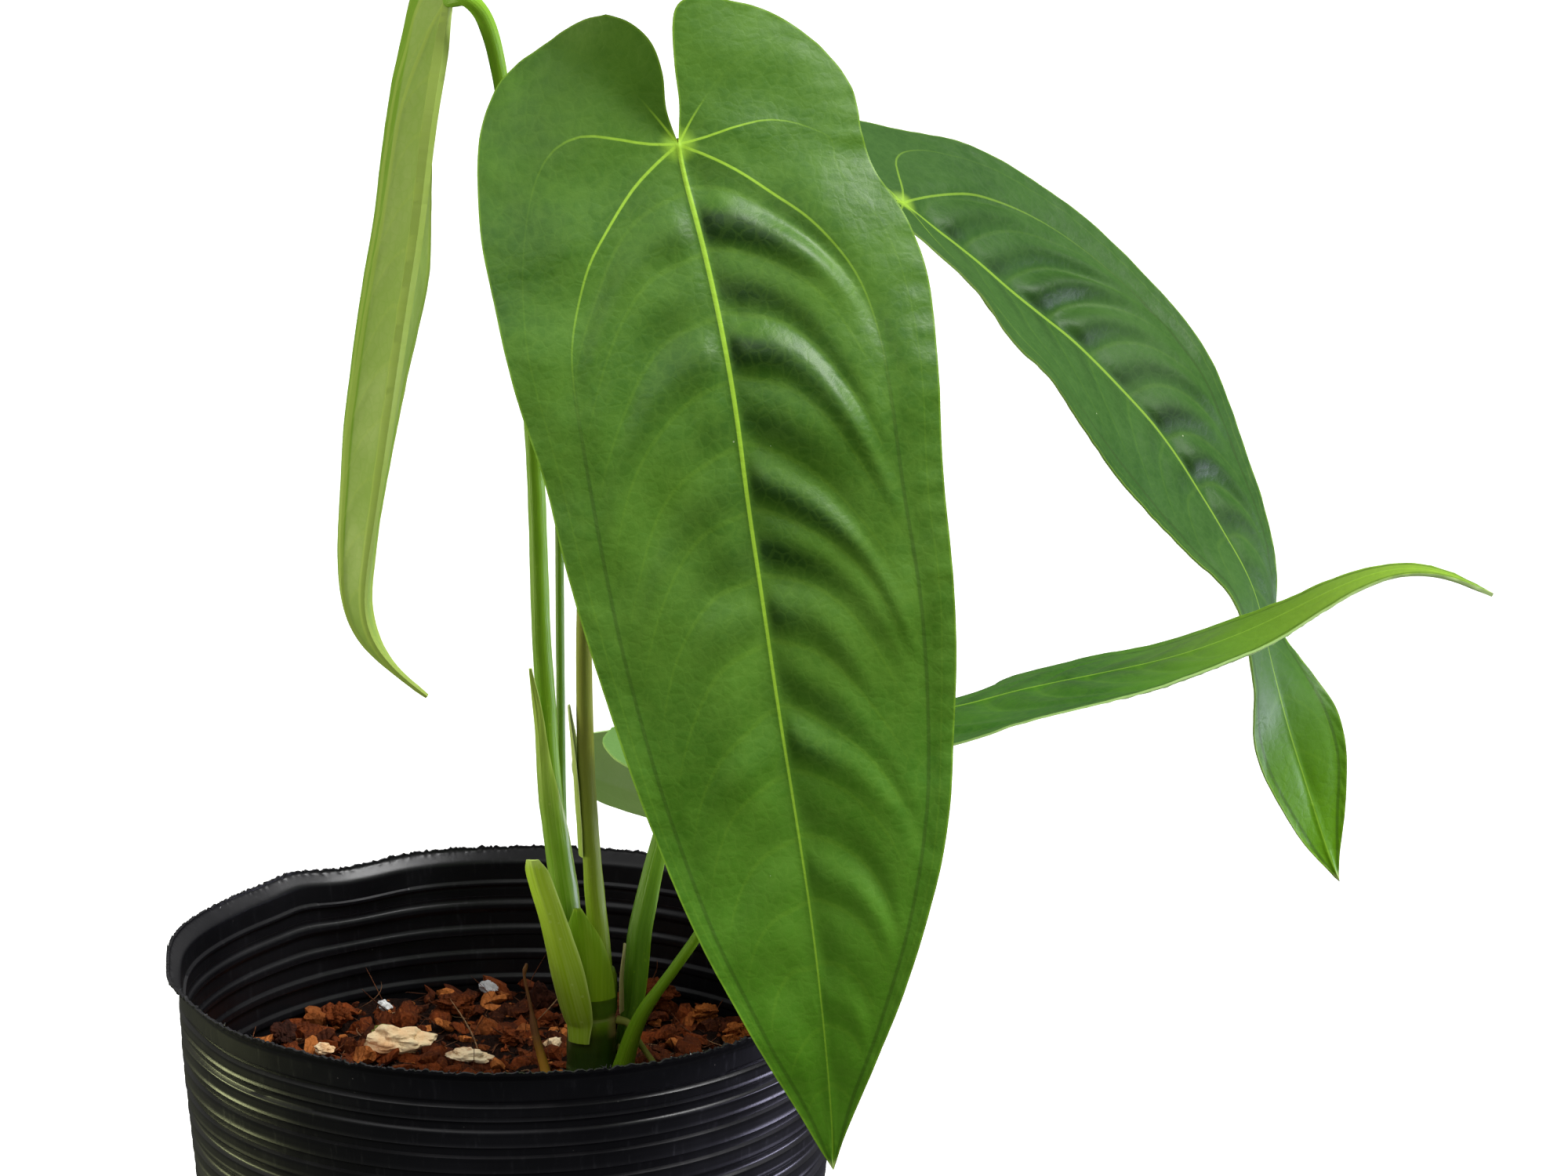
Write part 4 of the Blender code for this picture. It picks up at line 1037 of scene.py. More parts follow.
def stem_piece(finish):
    """The short stem: swollen rings where leaves came off, and uneven skin between them."""
    height = np.linspace(STEM_HEIGHT, -6.0, 110)
    share = height / STEM_HEIGHT
    at = [-0.3, 0, 0.22, 0.285, 0.31, 0.36, 0.5, 0.62, 0.655, 0.7, 0.78, 0.93, 0.98, 1.0]
    girth = [0.9, 0.93, 0.96, 1.0, 0.95, 0.94, 0.93, 0.95, 0.9, 0.97, 1.0, 0.98, 0.9, 0.7]
    radius = STEM_RADIUS * np.interp(share, at, girth)
    profile = np.vstack([[0.01, STEM_HEIGHT], np.stack([radius, height], axis=1), [0.01, -6.0]])
    points, _ = turned_points(profile, 64)
    flat = points.reshape(-1, 3)
    rough = waves(flat, 5.0, 3.0) * 0.22 + waves(flat, 1.6, 8.0) * 0.06
    reach = np.hypot(flat[:, 0], flat[:, 1])
    scale = np.where(reach > 1, (reach + rough) / np.maximum(reach, 1e-3), 1.0)
    flat[:, :2] *= scale[:, None]
    places = np.stack([flat[:, 0] / STEM_RADIUS, flat[:, 2], flat[:, 1] / STEM_RADIUS], axis=1)
    flat += (STEM_X, STEM_Y, PLANT_FOOT)
    mesh = mesh_of("stem_fine", flat, grid_faces(len(profile), 64, wrap=True))
    fix_outward(mesh)
    set_values(mesh, "stalk_place", places)
    set_values(mesh, "rim", np.zeros(len(flat)))
    return piece("stem_fine", mesh, [finish], "stem")


def stem_finish():
    """Green skin in bands: darker swellings at each ring, a thin pale line at it, a tan scar on one side."""
    made, tree, shader = start_material("stem_skin")
    place = attribute(tree, "stalk_place").outputs["Vector"]
    parts = add(tree, "SeparateXYZ", Vector=place)
    height = parts.outputs[1]
    cloud = grouped(tree, MOTTLE, Size=5.0)["Value"]
    green = blend(tree, cloud, (0.12, 0.22, 0.004), (0.18, 0.28, 0.01))
    for ring in (STEM_HEIGHT * 0.655, STEM_HEIGHT * 0.29):
        swelling = grouped(
            tree, VEIN_LINE, Distance=sums(tree, "SUBTRACT", height, ring + 2.6), Width=2.4, Softness=2.0
        )["Mask"]
        green = blend(tree, sums(tree, "MULTIPLY", swelling, 0.75), green, (0.04, 0.1, 0.004))
        line = grouped(
            tree, VEIN_LINE, Distance=sums(tree, "SUBTRACT", height, ring), Width=0.3, Softness=0.4
        )["Mask"]
        green = blend(tree, sums(tree, "MULTIPLY", line, 0.55), green, (0.3, 0.36, 0.1))
    foot = spread(tree, height, STEM_HEIGHT * 0.52, STEM_HEIGHT * 0.64, 1.0, 0.0)
    green = blend(tree, sums(tree, "MULTIPLY", foot, 0.9), green, (0.012, 0.036, 0.001))
    east = spread(tree, parts.outputs[0], 0.55, 0.95)
    scar = grouped(
        tree, VEIN_LINE, Distance=sums(tree, "SUBTRACT", height, STEM_HEIGHT * 0.6), Width=3.6, Softness=1.4
    )["Mask"]
    scar = sums(tree, "MULTIPLY", scar, east)
    green = blend(tree, sums(tree, "MULTIPLY", scar, 0.85), green, (0.42, 0.3, 0.12))
    join(tree, green, shader, "Base Color")
    join(tree, spread(tree, cloud, 0.0, 1.0, 0.36, 0.48), shader, "Roughness")
    streak = grouped(tree, STREAKS, Turns=5.0, Length=8.0)["Value"]
    bumped(tree, shader, streak, 0.3, 0.3)
    return made


# ---- The pot ----


def wall_radius(z):
    """The pot's outer radius between its grooves, at a height."""
    top = POT_RIM_RADIUS - POT_LIP_OUT
    return POT_BASE_RADIUS + (top - POT_BASE_RADIUS) * z / POT_HEIGHT


def groove_depth(z):
    """How far the wall dips at a height, flat bands with a groove between, and the beads at their edges."""
    down = (POT_HEIGHT - POT_BAND_HEIGHT - POT_LIP_HEIGHT - z) / POT_RIB_PITCH
    phase = np.mod(down + 0.12, 1.0)
    dip = ease(0.60, 0.66, phase) * (1 - ease(0.94, 1.0, phase))
    beads = np.exp(-(((phase - 0.56) / 0.045) ** 2))
    beads += np.exp(-(((np.mod(phase + 0.5, 1) - 0.53) / 0.05) ** 2))
    inside = (down > -0.3) & (z > POT_RIB_PITCH * 0.8)
    return np.where(inside, POT_RIB_DEPTH * dip, 0.0), np.where(inside, 0.24 * beads, 0.0)


def lip_out(z):
    """How far the rolled lip stands out at a height."""
    foot = POT_HEIGHT - POT_LIP_HEIGHT
    return POT_LIP_OUT * ease(foot - 1.1, POT_HEIGHT - 0.2, z)


RIM_DENTS = [
    # direction in degrees, half width, change of height, change of radius
    (122, 9, -0.9, -0.8), (134, 5, 0.7, 0.4), (170, 12, 0.5, 0.3), (186, 8, -0.6, -0.7), (205, 12, 1.1, -0.4),
    (232, 16, 0.5, 0.0), (300, 20, -0.4, 0.0), (338, 10, -0.5, 0.3), (60, 25, 0.3, 0.0),
]


def rim_change(degrees):
    """The thin rim's dents: change of height and of radius at directions round it."""
    rise = np.zeros(len(degrees))
    out = np.zeros(len(degrees))
    for direction, half, up, wide in RIM_DENTS:
        gap = np.abs(np.mod(degrees - direction + 180, 360) - 180)
        bell = np.exp(-((gap / half) ** 2))
        rise += up * bell
        out += wide * bell
    return rise, out


def wall_points(profile, around, ragged=0.0):
    """The wall's points: a closed profile turned round, the rim dented and its cut edge ragged."""
    points, turn = turned_points(profile, around)
    degrees = np.degrees(turn)
    rise, out = rim_change(degrees)
    near_rim = ease(POT_HEIGHT - 26, POT_HEIGHT, points[:, :, 2])
    reach = np.hypot(points[:, :, 0], points[:, :, 1])
    slow = np.array([noise.noise(Vector((math.cos(a) * 1.5, math.sin(a) * 1.5, 5.0))) for a in turn])
    moved = (reach + near_rim * (out + 0.5 * slow)) / np.maximum(reach, 1e-3)
    points[:, :, 0] *= moved
    points[:, :, 1] *= moved
    points[:, :, 2] += near_rim * rise
    if ragged:
        fine = np.array([noise.noise(Vector((math.cos(a) * 60, math.sin(a) * 60, 2.0))) for a in turn])
        finer = np.array([noise.noise(Vector((math.cos(a) * 160, math.sin(a) * 160, 4.0))) for a in turn])
        edge = ease(POT_HEIGHT - 1.6, POT_HEIGHT - 0.1, points[:, :, 2] - near_rim * rise)
        points[:, :, 2] += edge * ragged * (0.7 * fine + 0.6 * finer - 0.35)
    return points


def wall_profile(low, high, step):
    """Outer side from low to high and inner side back down, as (radius, height)."""
    z = np.arange(low, high + step / 2, step)
    z = np.minimum(z, high)
    dip, beads = groove_depth(z)
    outer = wall_radius(z) - dip + lip_out(z) + beads
    inner = outer - POT_WALL - 0.7 * beads
    return np.vstack([np.stack([outer, z], axis=1), np.stack([inner, z], axis=1)[::-1]])


def pot_wall(name, low, high, step, around, finish, ragged=0.0):
    """A stretch of the pot's wall, from low to high, as one closed mesh."""
    profile = wall_profile(low, high, step)
    points = wall_points(profile, around, ragged)
    rows = len(profile)
    faces = grid_faces(rows, around, wrap=True)
    for j in range(around):
        k = (j + 1) % around
        faces.append(((rows - 1) * around + j, (rows - 1) * around + k, k, j))
    mesh = mesh_of(name, points.reshape(-1, 3), faces)
    fix_outward(mesh)
    mesh.set_sharp_from_angle(angle=math.radians(60))
    return piece(name, mesh, [finish], "pot")


def rim_burrs(finish):
    """Thin curled slivers of plastic left along the cut rim."""
    rough = random.Random(41)
    points, faces = [], []
    for _ in range(BURR_COUNT):
        degrees = rough.uniform(0, 360)
        angle = math.radians(degrees)
        rise, out = rim_change(np.array([degrees]))
        base = POT_RIM_RADIUS - POT_WALL * rough.uniform(0.1, 0.9) + out[0]
        length = rough.uniform(0.5, 1.5)
        lean = rough.uniform(-0.7, 0.7)
        inward = rough.uniform(-1.0, 0.2)
        wide = rough.uniform(0.10, 0.22)
        start = len(points)
        for step in range(5):
            share = step / 4
            reach = base + inward * length * share * share
            turn = angle + lean * length * share * share / base
            z = POT_HEIGHT + rise[0] - 0.5 + length * 0.8 * share * (1 - 0.35 * share)
            half = wide * (1 - share) + 0.02
            for way in (-1, 1):
                a = turn + way * half / base
                for depth in (0, 0.12):
                    points.append(((reach - depth) * math.cos(a), (reach - depth) * math.sin(a), z))
        for step in range(4):
            a = start + step * 4
            b = a + 4
            for i, j in ((0, 2), (2, 3), (3, 1), (1, 0)):
                faces.append((a + i, a + j, b + j, b + i))
        faces.append((start, start + 1, start + 3, start + 2))
        faces.append((start + 16, start + 18, start + 19, start + 17))
    mesh = mesh_of("rim_burrs", points, faces, smooth=False)
    fix_outward(mesh)
    return piece("rim_burrs", mesh, [finish], "pot")


def pot_floor(finish):
    """The flat bottom with its drain holes."""
    around = 144
    radius = POT_BASE_RADIUS - 0.05
    thick = 0.9
    profile = [
        (0.01, 0.0), (20, 0.0), (radius - 3, 0.0), (radius, 0.0),
        (radius, thick), (radius - 3, thick), (20, thick), (0.01, thick),
    ]
    points, _ = turned_points(profile, around)
    faces = grid_faces(len(profile), around, wrap=True)
    mesh = mesh_of("pot_floor", points.reshape(-1, 3), faces, smooth=False)
    fix_outward(mesh)
    made = piece("pot_floor", mesh, [finish], "pot")
    cutters = bmesh.new()
    for i in range(DRAIN_HOLES):
        angle = 2 * math.pi * (i + 0.5) / DRAIN_HOLES
        hole = bmesh.ops.create_cone(
            cutters, cap_ends=True, segments=40, radius1=DRAIN_RADIUS * MM, radius2=DRAIN_RADIUS * MM,
            depth=8 * MM,
        )
        place = Vector((DRAIN_CIRCLE * math.cos(angle), DRAIN_CIRCLE * math.sin(angle), 0)) * MM
        bmesh.ops.translate(cutters, verts=hole["verts"], vec=place)
    holes = bpy.data.meshes.new("drain_holes")
    cutters.to_mesh(holes)
    cutters.free()
    cutter = bpy.data.objects.new("drain_holes", holes)
    bpy.context.scene.collection.objects.link(cutter)
    cut = made.modifiers.new("drain", "BOOLEAN")
    cut.operation = "DIFFERENCE"
    cut.object = cutter
    bpy.context.view_layer.update()
    graph = bpy.context.evaluated_depsgraph_get()
    drained = bpy.data.meshes.new_from_object(made.evaluated_get(graph))
    made.modifiers.remove(cut)
    made.data = drained
    bpy.data.objects.remove(cutter)
    return made


def pot_finish():
    """Black blown plastic: satin, with fine upright scuffs, and dust on what faces up."""
    made, tree, shader = start_material("pot_plastic_black")
    place = add(tree, "TexCoord").outputs["Object"]
    cloud = grouped(tree, MOTTLE, Size=35.0)["Value"]
    parts = add(tree, "SeparateXYZ", Vector=place)
    lean = sums(tree, "MULTIPLY", parts.outputs[2], 0.12)
    stretched = add(tree, "CombineXYZ", X=parts.outputs[0], Y=parts.outputs[1], Z=lean)
    scuffs = add(tree, "TexNoise", Vector=stretched.outputs[0], Scale=900.0, Detail=4.0, Roughness=0.65)
    scuff = spread(tree, scuffs.outputs[0], 0.56, 0.74)
    up = add(tree, "SeparateXYZ", Vector=add(tree, "NewGeometry").outputs["Normal"]).outputs[2]
    dust = sums(tree, "MULTIPLY", spread(tree, up, 0.15, 0.9), spread(tree, cloud, 0.0, 1.0, 0.3, 1.0))
    black = blend(tree, cloud, (0.0035, 0.0035, 0.0045), (0.006, 0.006, 0.0075))
    black = blend(tree, sums(tree, "MULTIPLY", scuff, 0.25), black, (0.03, 0.03, 0.034))
    black = blend(tree, sums(tree, "MULTIPLY", dust, 0.3), black, (0.05, 0.048, 0.05))
    speck = grouped(tree, SPECKS, Spacing=3.2, Size=0.05, Share=0.2)["Mask"]
    black = blend(tree, sums(tree, "MULTIPLY", speck, 0.5), black, (0.14, 0.13, 0.12))
    join(tree, black, shader, "Base Color")
    rough = sums(tree, "ADD", spread(tree, cloud, 0.0, 1.0, 0.3, 0.38), sums(tree, "MULTIPLY", scuff, 0.14))
    join(tree, rough, shader, "Roughness")
    shader.inputs["Specular IOR Level"].default_value = 0.24
    bumped(tree, shader, scuffs.outputs[0], 0.12, 0.2)
    return made


# ---- The mix, the stones and the husk on it ----


def mix_height(x, y):
    """The height of the mix's surface at a place: lumps of three sizes."""
    big = noise.noise(Vector((x / 16, y / 16, 3.0))) * 2.2
    mid = noise.noise(Vector((x / 5.5, y / 5.5, 9.0))) * 1.5
    small = noise.noise(Vector((x / 1.9, y / 1.9, 15.0))) * 0.8
    return MIX_TOP - 0.6 + big + mid + small


def mix_edge(z):
    """The radius that the mix reaches to inside the wall, at a height."""
    return wall_radius(z) - POT_RIB_DEPTH - POT_WALL - 0.5


def mix_bed(finish):
    """The mix's rough top, with a side that goes down inside the wall."""
    rings, around = 110, 320
    edge = mix_edge(MIX_TOP)
    radii = np.linspace(0.2, edge, rings)
    turn = np.linspace(0, 2 * math.pi, around, endpoint=False)
    points = []
    for radius in radii:
        for angle in turn:
            x, y = radius * math.cos(angle), radius * math.sin(angle)
            points.append((x, y, mix_height(x, y)))
    low = 2.0
    for radius, z in ((edge, MIX_TOP - 8), (mix_edge(low), low), (0.2, low)):
        for angle in turn:
            points.append((radius * math.cos(angle), radius * math.sin(angle), z))
    rows = rings + 3
    faces = grid_faces(rows, around, wrap=True)
    faces.append(tuple(range(around)))
    faces.append(tuple(range((rows - 1) * around, rows * around)))
    mesh = mesh_of("mix_bed", points, faces)
    fix_outward(mesh)
    return piece("mix_bed", mesh, [finish], "potting_mix")


def lump(rough, size, seed, subdivisions, chunky):
    """Points and faces of a rough lump of this size, about its own middle."""
    shell = bmesh.new()
    bmesh.ops.create_icosphere(shell, subdivisions=subdivisions, radius=1.0)
    cuts = []
    for _ in range(9):
        way = Vector((rough.gauss(0, 1), rough.gauss(0, 1), rough.gauss(0, 1))).normalized()
        cuts.append((way, rough.uniform(0.5, 0.86)))
    for vertex in shell.verts:
        spot = vertex.co.copy()
        for way, reach in cuts:
            past = spot.dot(way) - reach
            if past > 0:
                spot -= way * past * 0.92
        grain = noise.noise(spot * 2.2 + Vector((seed, 0, 0))) * chunky
        grain += noise.noise(spot * 6.5 + Vector((0, seed, 0))) * chunky * 0.35
        spot *= 1 + grain
        vertex.co = Vector((spot.x * size[0] / 2, spot.y * size[1] / 2, spot.z * size[2] / 2))
    shell.verts.ensure_lookup_table()
    points = [tuple(vertex.co) for vertex in shell.verts]
    faces = [tuple(vertex.index for vertex in face.verts) for face in shell.faces]
    shell.free()
    return points, faces


def husk_litter(finish):
    """Small crumbs and chips of husk strewn over the mix, all one piece."""
    rough = random.Random(7)
    points, faces, tints = [], [], []
    edge = wall_radius(MIX_TOP) - POT_RIB_DEPTH - POT_WALL - 2.5
    for count in range(LITTER_COUNT):
        radius = edge * math.sqrt(rough.uniform(0.0, 1.0))
        angle = rough.uniform(0, 2 * math.pi)
        x, y = radius * math.cos(angle), radius * math.sin(angle)
        if math.hypot(x - STEM_X, y - STEM_Y) < STEM_RADIUS + 3.5:
            continue
        big = rough.random() < 0.36
        length = rough.uniform(4.5, 10.5) if big else rough.uniform(1.4, 4.2)
        size = (length, length * rough.uniform(0.4, 0.85), length * rough.uniform(0.22, 0.6))
        shape, sides = lump(rough, size, count * 0.37, 2 if big else 1, 0.45)
        rise = rough.uniform(0.0, 2.6 if big else 2.0)
        lift = Vector((x, y, mix_height(x, y) - 0.6 + rise))
        yaw, tilt = rough.uniform(0, math.tau), rough.gauss(0, 0.6)
        start = len(points)
        for spot in shape:
            here = Vector(spot)
            here.rotate(Euler((tilt, 0.5 * math.sin(count * 2.7), yaw)))
            here += lift
            reach = math.hypot(here.x, here.y)
            if reach > edge + 1.6:
                here.x *= (edge + 1.6) / reach
                here.y *= (edge + 1.6) / reach
            points.append(tuple(here))
        faces += [tuple(start + i for i in face) for face in sides]
        tints += [rough.random()] * len(shape)
    mesh = mesh_of("husk_litter", points, faces, sharp=35)
    set_values(mesh, "tint", tints)
    return piece("husk_litter", mesh, [finish], "potting_mix")


def strand(points, faces, line, radius, tints, tint):
    """Adds a thin tapering strand along a line to a growing mesh."""
    line = np.asarray(line, float)
    _, side, front = line_frame(line)
    around = STRAND_SIDES
    turn = np.linspace(0, 2 * math.pi, around, endpoint=False)
    start = len(points)
    count = len(line)
    for i in range(count):
        girth = radius * (1 - 0.75 * abs(2 * i / (count - 1) - 1) ** 3)
        for angle in turn:
            points.append(tuple(line[i] + girth * (math.cos(angle) * side[i] + math.sin(angle) * front[i])))
            tints.append(tint)
    for i in range(count - 1):
        for j in range(around):
            a, b = start + i * around + j, start + i * around + (j + 1) % around
            faces.append((a, a + around, b + around, b))
    faces.append(tuple(start + j for j in range(around)))
    faces.append(tuple(start + (count - 1) * around + j for j in reversed(range(around))))


def coir(finish):
    """Fine fibres that lie over the mix, a few of them standing up."""
    rough = random.Random(23)
    points, faces, tints = [], [], []
    edge = wall_radius(MIX_TOP) - 5
    for _ in range(COIR_COUNT):
        radius = edge * math.sqrt(rough.uniform(0.02, 1.0))
        angle = rough.uniform(0, 2 * math.pi)
        x, y = radius * math.cos(angle), radius * math.sin(angle)
        if math.hypot(x - STEM_X, y - STEM_Y) < STEM_RADIUS + 2:
            continue
        way = rough.uniform(0, 2 * math.pi)
        turn = rough.uniform(-0.14, 0.14)
        length = rough.uniform(4, 17)
        steps = 9
        standing = rough.random() < 0.16
        climb = rough.uniform(0.3, 1.1) if standing else rough.uniform(-0.05, 0.12)
        line = []
        z = mix_height(x, y) + rough.uniform(0.2, 2.2)
        for _ in range(steps):
            line.append((x, y, z))
            way += turn * length / steps * 2.2
            x += math.cos(way) * length / steps * (0.6 if standing else 1)
            y += math.sin(way) * length / steps * (0.6 if standing else 1)
            if math.hypot(x, y) > edge:
                x *= edge / math.hypot(x, y)
                y *= edge / math.hypot(x, y)
            ground = mix_height(x, y) + 0.3
            z = z + climb * length / steps if standing else max(ground, z - 0.25)
        strand(points, faces, line, rough.uniform(0.07, 0.2), tints, rough.random())
    mesh = mesh_of("coir_fibres", points, faces)
    set_values(mesh, "tint", tints)
    return piece("coir_fibres", mesh, [finish], "potting_mix")


def husk_finish(name, dark, red, orange):
    """Coco husk: dark to reddish crumbs, fibrous along their length, with paler torn edges, and painted shade
    in its pits.
    """
    made, tree, shader = start_material(name)
    tint = attribute(tree, "tint").outputs["Fac"]
    place = add(tree, "TexCoord").outputs["Object"]
    cloud = grouped(tree, MOTTLE, Size=9.0, Detail=6.0)["Value"]
    colour = blend(tree, cloud, dark, red)
    colour = blend(tree, spread(tree, tint, 0.72, 0.95), colour, orange)
    colour = blend(tree, spread(tree, tint, 0.0, 0.35, 0.75, 0.0), colour, dark)
    grain = add(tree, "TexNoise", Vector=place, Scale=1300.0, Detail=5.0, Roughness=0.7)
    fibres = add(tree, "TexWave", Vector=place, Scale=240.0, Distortion=9.0, Detail=3.0)
    torn = spread(tree, grain.outputs[0], 0.52, 0.75)
    colour = blend(tree, sums(tree, "MULTIPLY", torn, 0.35), colour, orange)
    # Painted shade: the low grain, where the bump sinks, is painted near black.
    painted_pit_shade = spread(tree, grain.outputs[0], 0.25, 0.45, 0.7, 0.0)
    colour = blend(tree, painted_pit_shade, colour, (0.008, 0.004, 0.003))
    join(tree, colour, shader, "Base Color")
    join(tree, spread(tree, cloud, 0.0, 1.0, 0.75, 0.95), shader, "Roughness")
    height = sums(tree, "ADD", grain.outputs[0], sums(tree, "MULTIPLY", fibres.outputs[1], 0.5))
    shader.inputs["Specular IOR Level"].default_value = 0.12
    bumped(tree, shader, height, 0.9, 0.8)
    return made


def stone_finish(name, pale, warm, dark, moss=0.0):
    """Limestone: pale, warm stained and pitted, with green growth on some."""
    made, tree, shader = start_material(name)
    place = add(tree, "TexCoord").outputs["Object"]
    cloud = grouped(tree, MOTTLE, Size=8.0, Detail=5.0)["Value"]
    stain = add(tree, "TexNoise", Vector=place, Scale=170.0, Detail=5.0, Roughness=0.65).outputs[0]
    grain = add(tree, "TexNoise", Vector=place, Scale=1500.0, Detail=4.0, Roughness=0.7).outputs[0]
    colour = blend(tree, cloud, pale, warm)
    colour = blend(tree, spread(tree, stain, 0.5, 0.68, 0.0, 0.75), colour, dark)
    colour = blend(tree, spread(tree, grain, 0.28, 0.42, 0.6, 0.0), colour, dark)
    if moss:
        growth = add(tree, "TexNoise", Vector=place, Scale=120.0, Detail=4.0).outputs[0]
        back = attribute(tree, "moss").outputs["Fac"]
        mask = sums(tree, "MULTIPLY", spread(tree, growth, 0.36, 0.5), back)
        colour = blend(tree, mask, colour, (0.16, 0.17, 0.02))
    join(tree, colour, shader, "Base Color")
    join(tree, spread(tree, grain, 0.3, 0.7, 0.8, 0.95), shader, "Roughness")
    bumped(tree, shader, sums(tree, "ADD", grain, sums(tree, "MULTIPLY", stain, 1.5)), 0.6, 0.5)
    return made


def loose_lump(node, index, finish, chunky):
    """A finer stone or chip in the place of a packed one."""
    low, high = (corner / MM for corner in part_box(node))
    middle = (low + high) / 2
    size = high - low
    rough = random.Random(100 + index)
    points, faces = lump(rough, (size.x, size.y, size.z), index * 1.7, 5, chunky)
    points = np.array(points)
    reach = np.abs(points).max(axis=0) * 2
    points *= np.array(size) / reach
    points += (middle.x, middle.y, middle.z - 0.25)
    mesh = mesh_of(node + "_fine", points, faces, sharp=40)
    set_values(mesh, "tint", np.full(len(points), 0.5))
    share = (points - np.array(low)) / np.array(size)
    set_values(mesh, "moss", ease(0.45, 0.75, share[:, 1]) * ease(0.3, 0.6, 1 - share[:, 0]))
    return piece(node + "_fine", mesh, [finish], node)


# ---- The whole plant ----

# How fine each blade's grid is, and its relief. "pitch" and "first" place its side veins. "quilt" is the height
# in millimetres of the hills between them on either half, "unlike" the shares of it that they have in turn, and
# they go out to "far" and along to "until". "double" sinks every other vein deeper, and "shade" is painted
# shade, a deeper green painted on the hills' lower flanks. "wave" is the height of the blade's own swells, and
# "fold" a crease in it.
leaf_looks = {
    "blade_front": {
        "columns": 46, "rows": 210, "pitch": 13.1, "first": {1: 8.8, -1: 9.5},
        "quilt": {1: 1.75, -1: 0.8}, "unlike": (1.0, 0.4), "far": 0.8, "until": 0.97, "double": 0.3,
        "shade": {1: 1.2, -1: 0.4}, "wave": 1.3, "seed": 2.0, "fold": lobe_fold,
    },
    "blade_left": {
        "columns": 22, "rows": 150, "pitch": 12.0, "first": {1: 4.0, -1: 4.0},
        "quilt": {1: 0.25, -1: 0.25}, "unlike": (1.0,), "far": 0.88, "until": 0.9, "double": 0.0,
        "shade": {1: 0.1, -1: 0.1}, "wave": 0.35, "seed": 12.0, "fold": no_fold,
    },
    "blade_rear": {
        "columns": 42, "rows": 190, "pitch": 12.5, "first": {1: 5.0, -1: 5.0},
        "quilt": {1: 1.7, -1: 0.6}, "unlike": (1.0, 0.8, 1.0), "far": 0.86, "until": 0.74, "double": 0.0,
        "shade": {1: 0.9, -1: 0.3}, "wave": 0.8, "seed": 22.0, "fold": no_fold,
    },
    "blade_right": {
        "columns": 36, "rows": 170, "pitch": 11.0, "first": {1: 3.0, -1: 3.0},
        "quilt": {1: 1.1, -1: 1.3}, "unlike": (1.0, 0.7, 0.9), "far": 0.85, "until": 0.7, "double": 0.0,
        "shade": {1: 0.5, -1: 0.5}, "wave": 0.6, "seed": 32.0, "fold": no_fold,
    },
}

under = leaf_under("leaf_underside", (0.27, 0.38, 0.14), (0.2, 0.34, 0.07), (0.36, 0.46, 0.14), 14.0)
# The right blade's underside: a brighter copy of the other undersides that also glows, painted light where it
# lies in shade.
painted_light_under_right = leaf_under(
    "right_leaf_underside_painted_light", (0.34, 0.5, 0.19), (0.3, 0.47, 0.14), (0.38, 0.52, 0.2),
    leaf_looks["blade_right"]["pitch"], painted_glow=0.16,
)
under_young = leaf_under(
    "young_leaf_underside", (0.29, 0.4, 0.095), (0.16, 0.31, 0.009), (0.34, 0.45, 0.075),
    leaf_looks["blade_left"]["pitch"],
)
# The front blade's tip colour starts at 0.38 of its length: its lower part is painted lighter, painted light.
upper_front = leaf_upper(
    "leaf_mid_green", (0.021, 0.088, 0.0005), (0.046, 0.138, 0.002), (0.12, 0.24, 0.022), (0.3, 0.52, 0.03),
    (0.07, 0.21, 0.006), leaf_looks["blade_front"]["pitch"], rough=0.5, tip_from=0.38, laterals=0.05,
)
upper_rear = leaf_upper(
    "leaf_blue_green", (0.012, 0.054, 0.002), (0.021, 0.074, 0.005), (0.055, 0.13, 0.02), (0.26, 0.44, 0.03),
    (0.11, 0.28, 0.0), leaf_looks["blade_rear"]["pitch"], rough=0.52, tip_from=0.66, laterals=0.03, main=0.45,
    shine=0.2,
)
# The right blade's lobes are painted paler: painted light, to match its glowing underside.
upper_right = leaf_upper(
    "leaf_right_green", (0.012, 0.075, 0.001), (0.03, 0.125, 0.003), (0.08, 0.2, 0.012), (0.28, 0.5, 0.04),
    (0.26, 0.42, 0.03), leaf_looks["blade_right"]["pitch"], rough=0.45, tip_from=0.45, laterals=0.04, main=0.4,
    lobes=(0.14, 0.27, 0.07), shine=0.25,
)
upper_young = leaf_upper(
    "leaf_young_green", (0.08, 0.2, 0.01), (0.12, 0.26, 0.02), (0.18, 0.32, 0.05), (0.36, 0.5, 0.08),
    (0.3, 0.4, 0.06), leaf_looks["blade_left"]["pitch"], rough=0.45, tip_from=0.85,
)
leaf("blade_front", [upper_front, under], leaf_looks["blade_front"])
leaf("blade_left", [upper_young, under_young], leaf_looks["blade_left"])
leaf("blade_rear", [upper_rear, under], leaf_looks["blade_rear"])
leaf("blade_right", [upper_right, painted_light_under_right], leaf_looks["blade_right"])

MIX = MIX_LEVEL + 0.3
olive = stalk_finish(
    "stalk_olive", (0.2, 0.32, 0.008), (0.28, 0.3, 0.05), (0.34, 0.42, 0.07), low_z=135, high_z=190
)
green = stalk_finish(
    "stalk_green", (0.13, 0.28, 0.004), (0.17, 0.37, 0.01), (0.3, 0.46, 0.04), low_z=135, high_z=300
)
dark = stalk_finish(
    "stalk_dark", (0.1, 0.24, 0.006), (0.1, 0.22, 0.01), (0.2, 0.36, 0.02), low_z=135, high_z=250
)

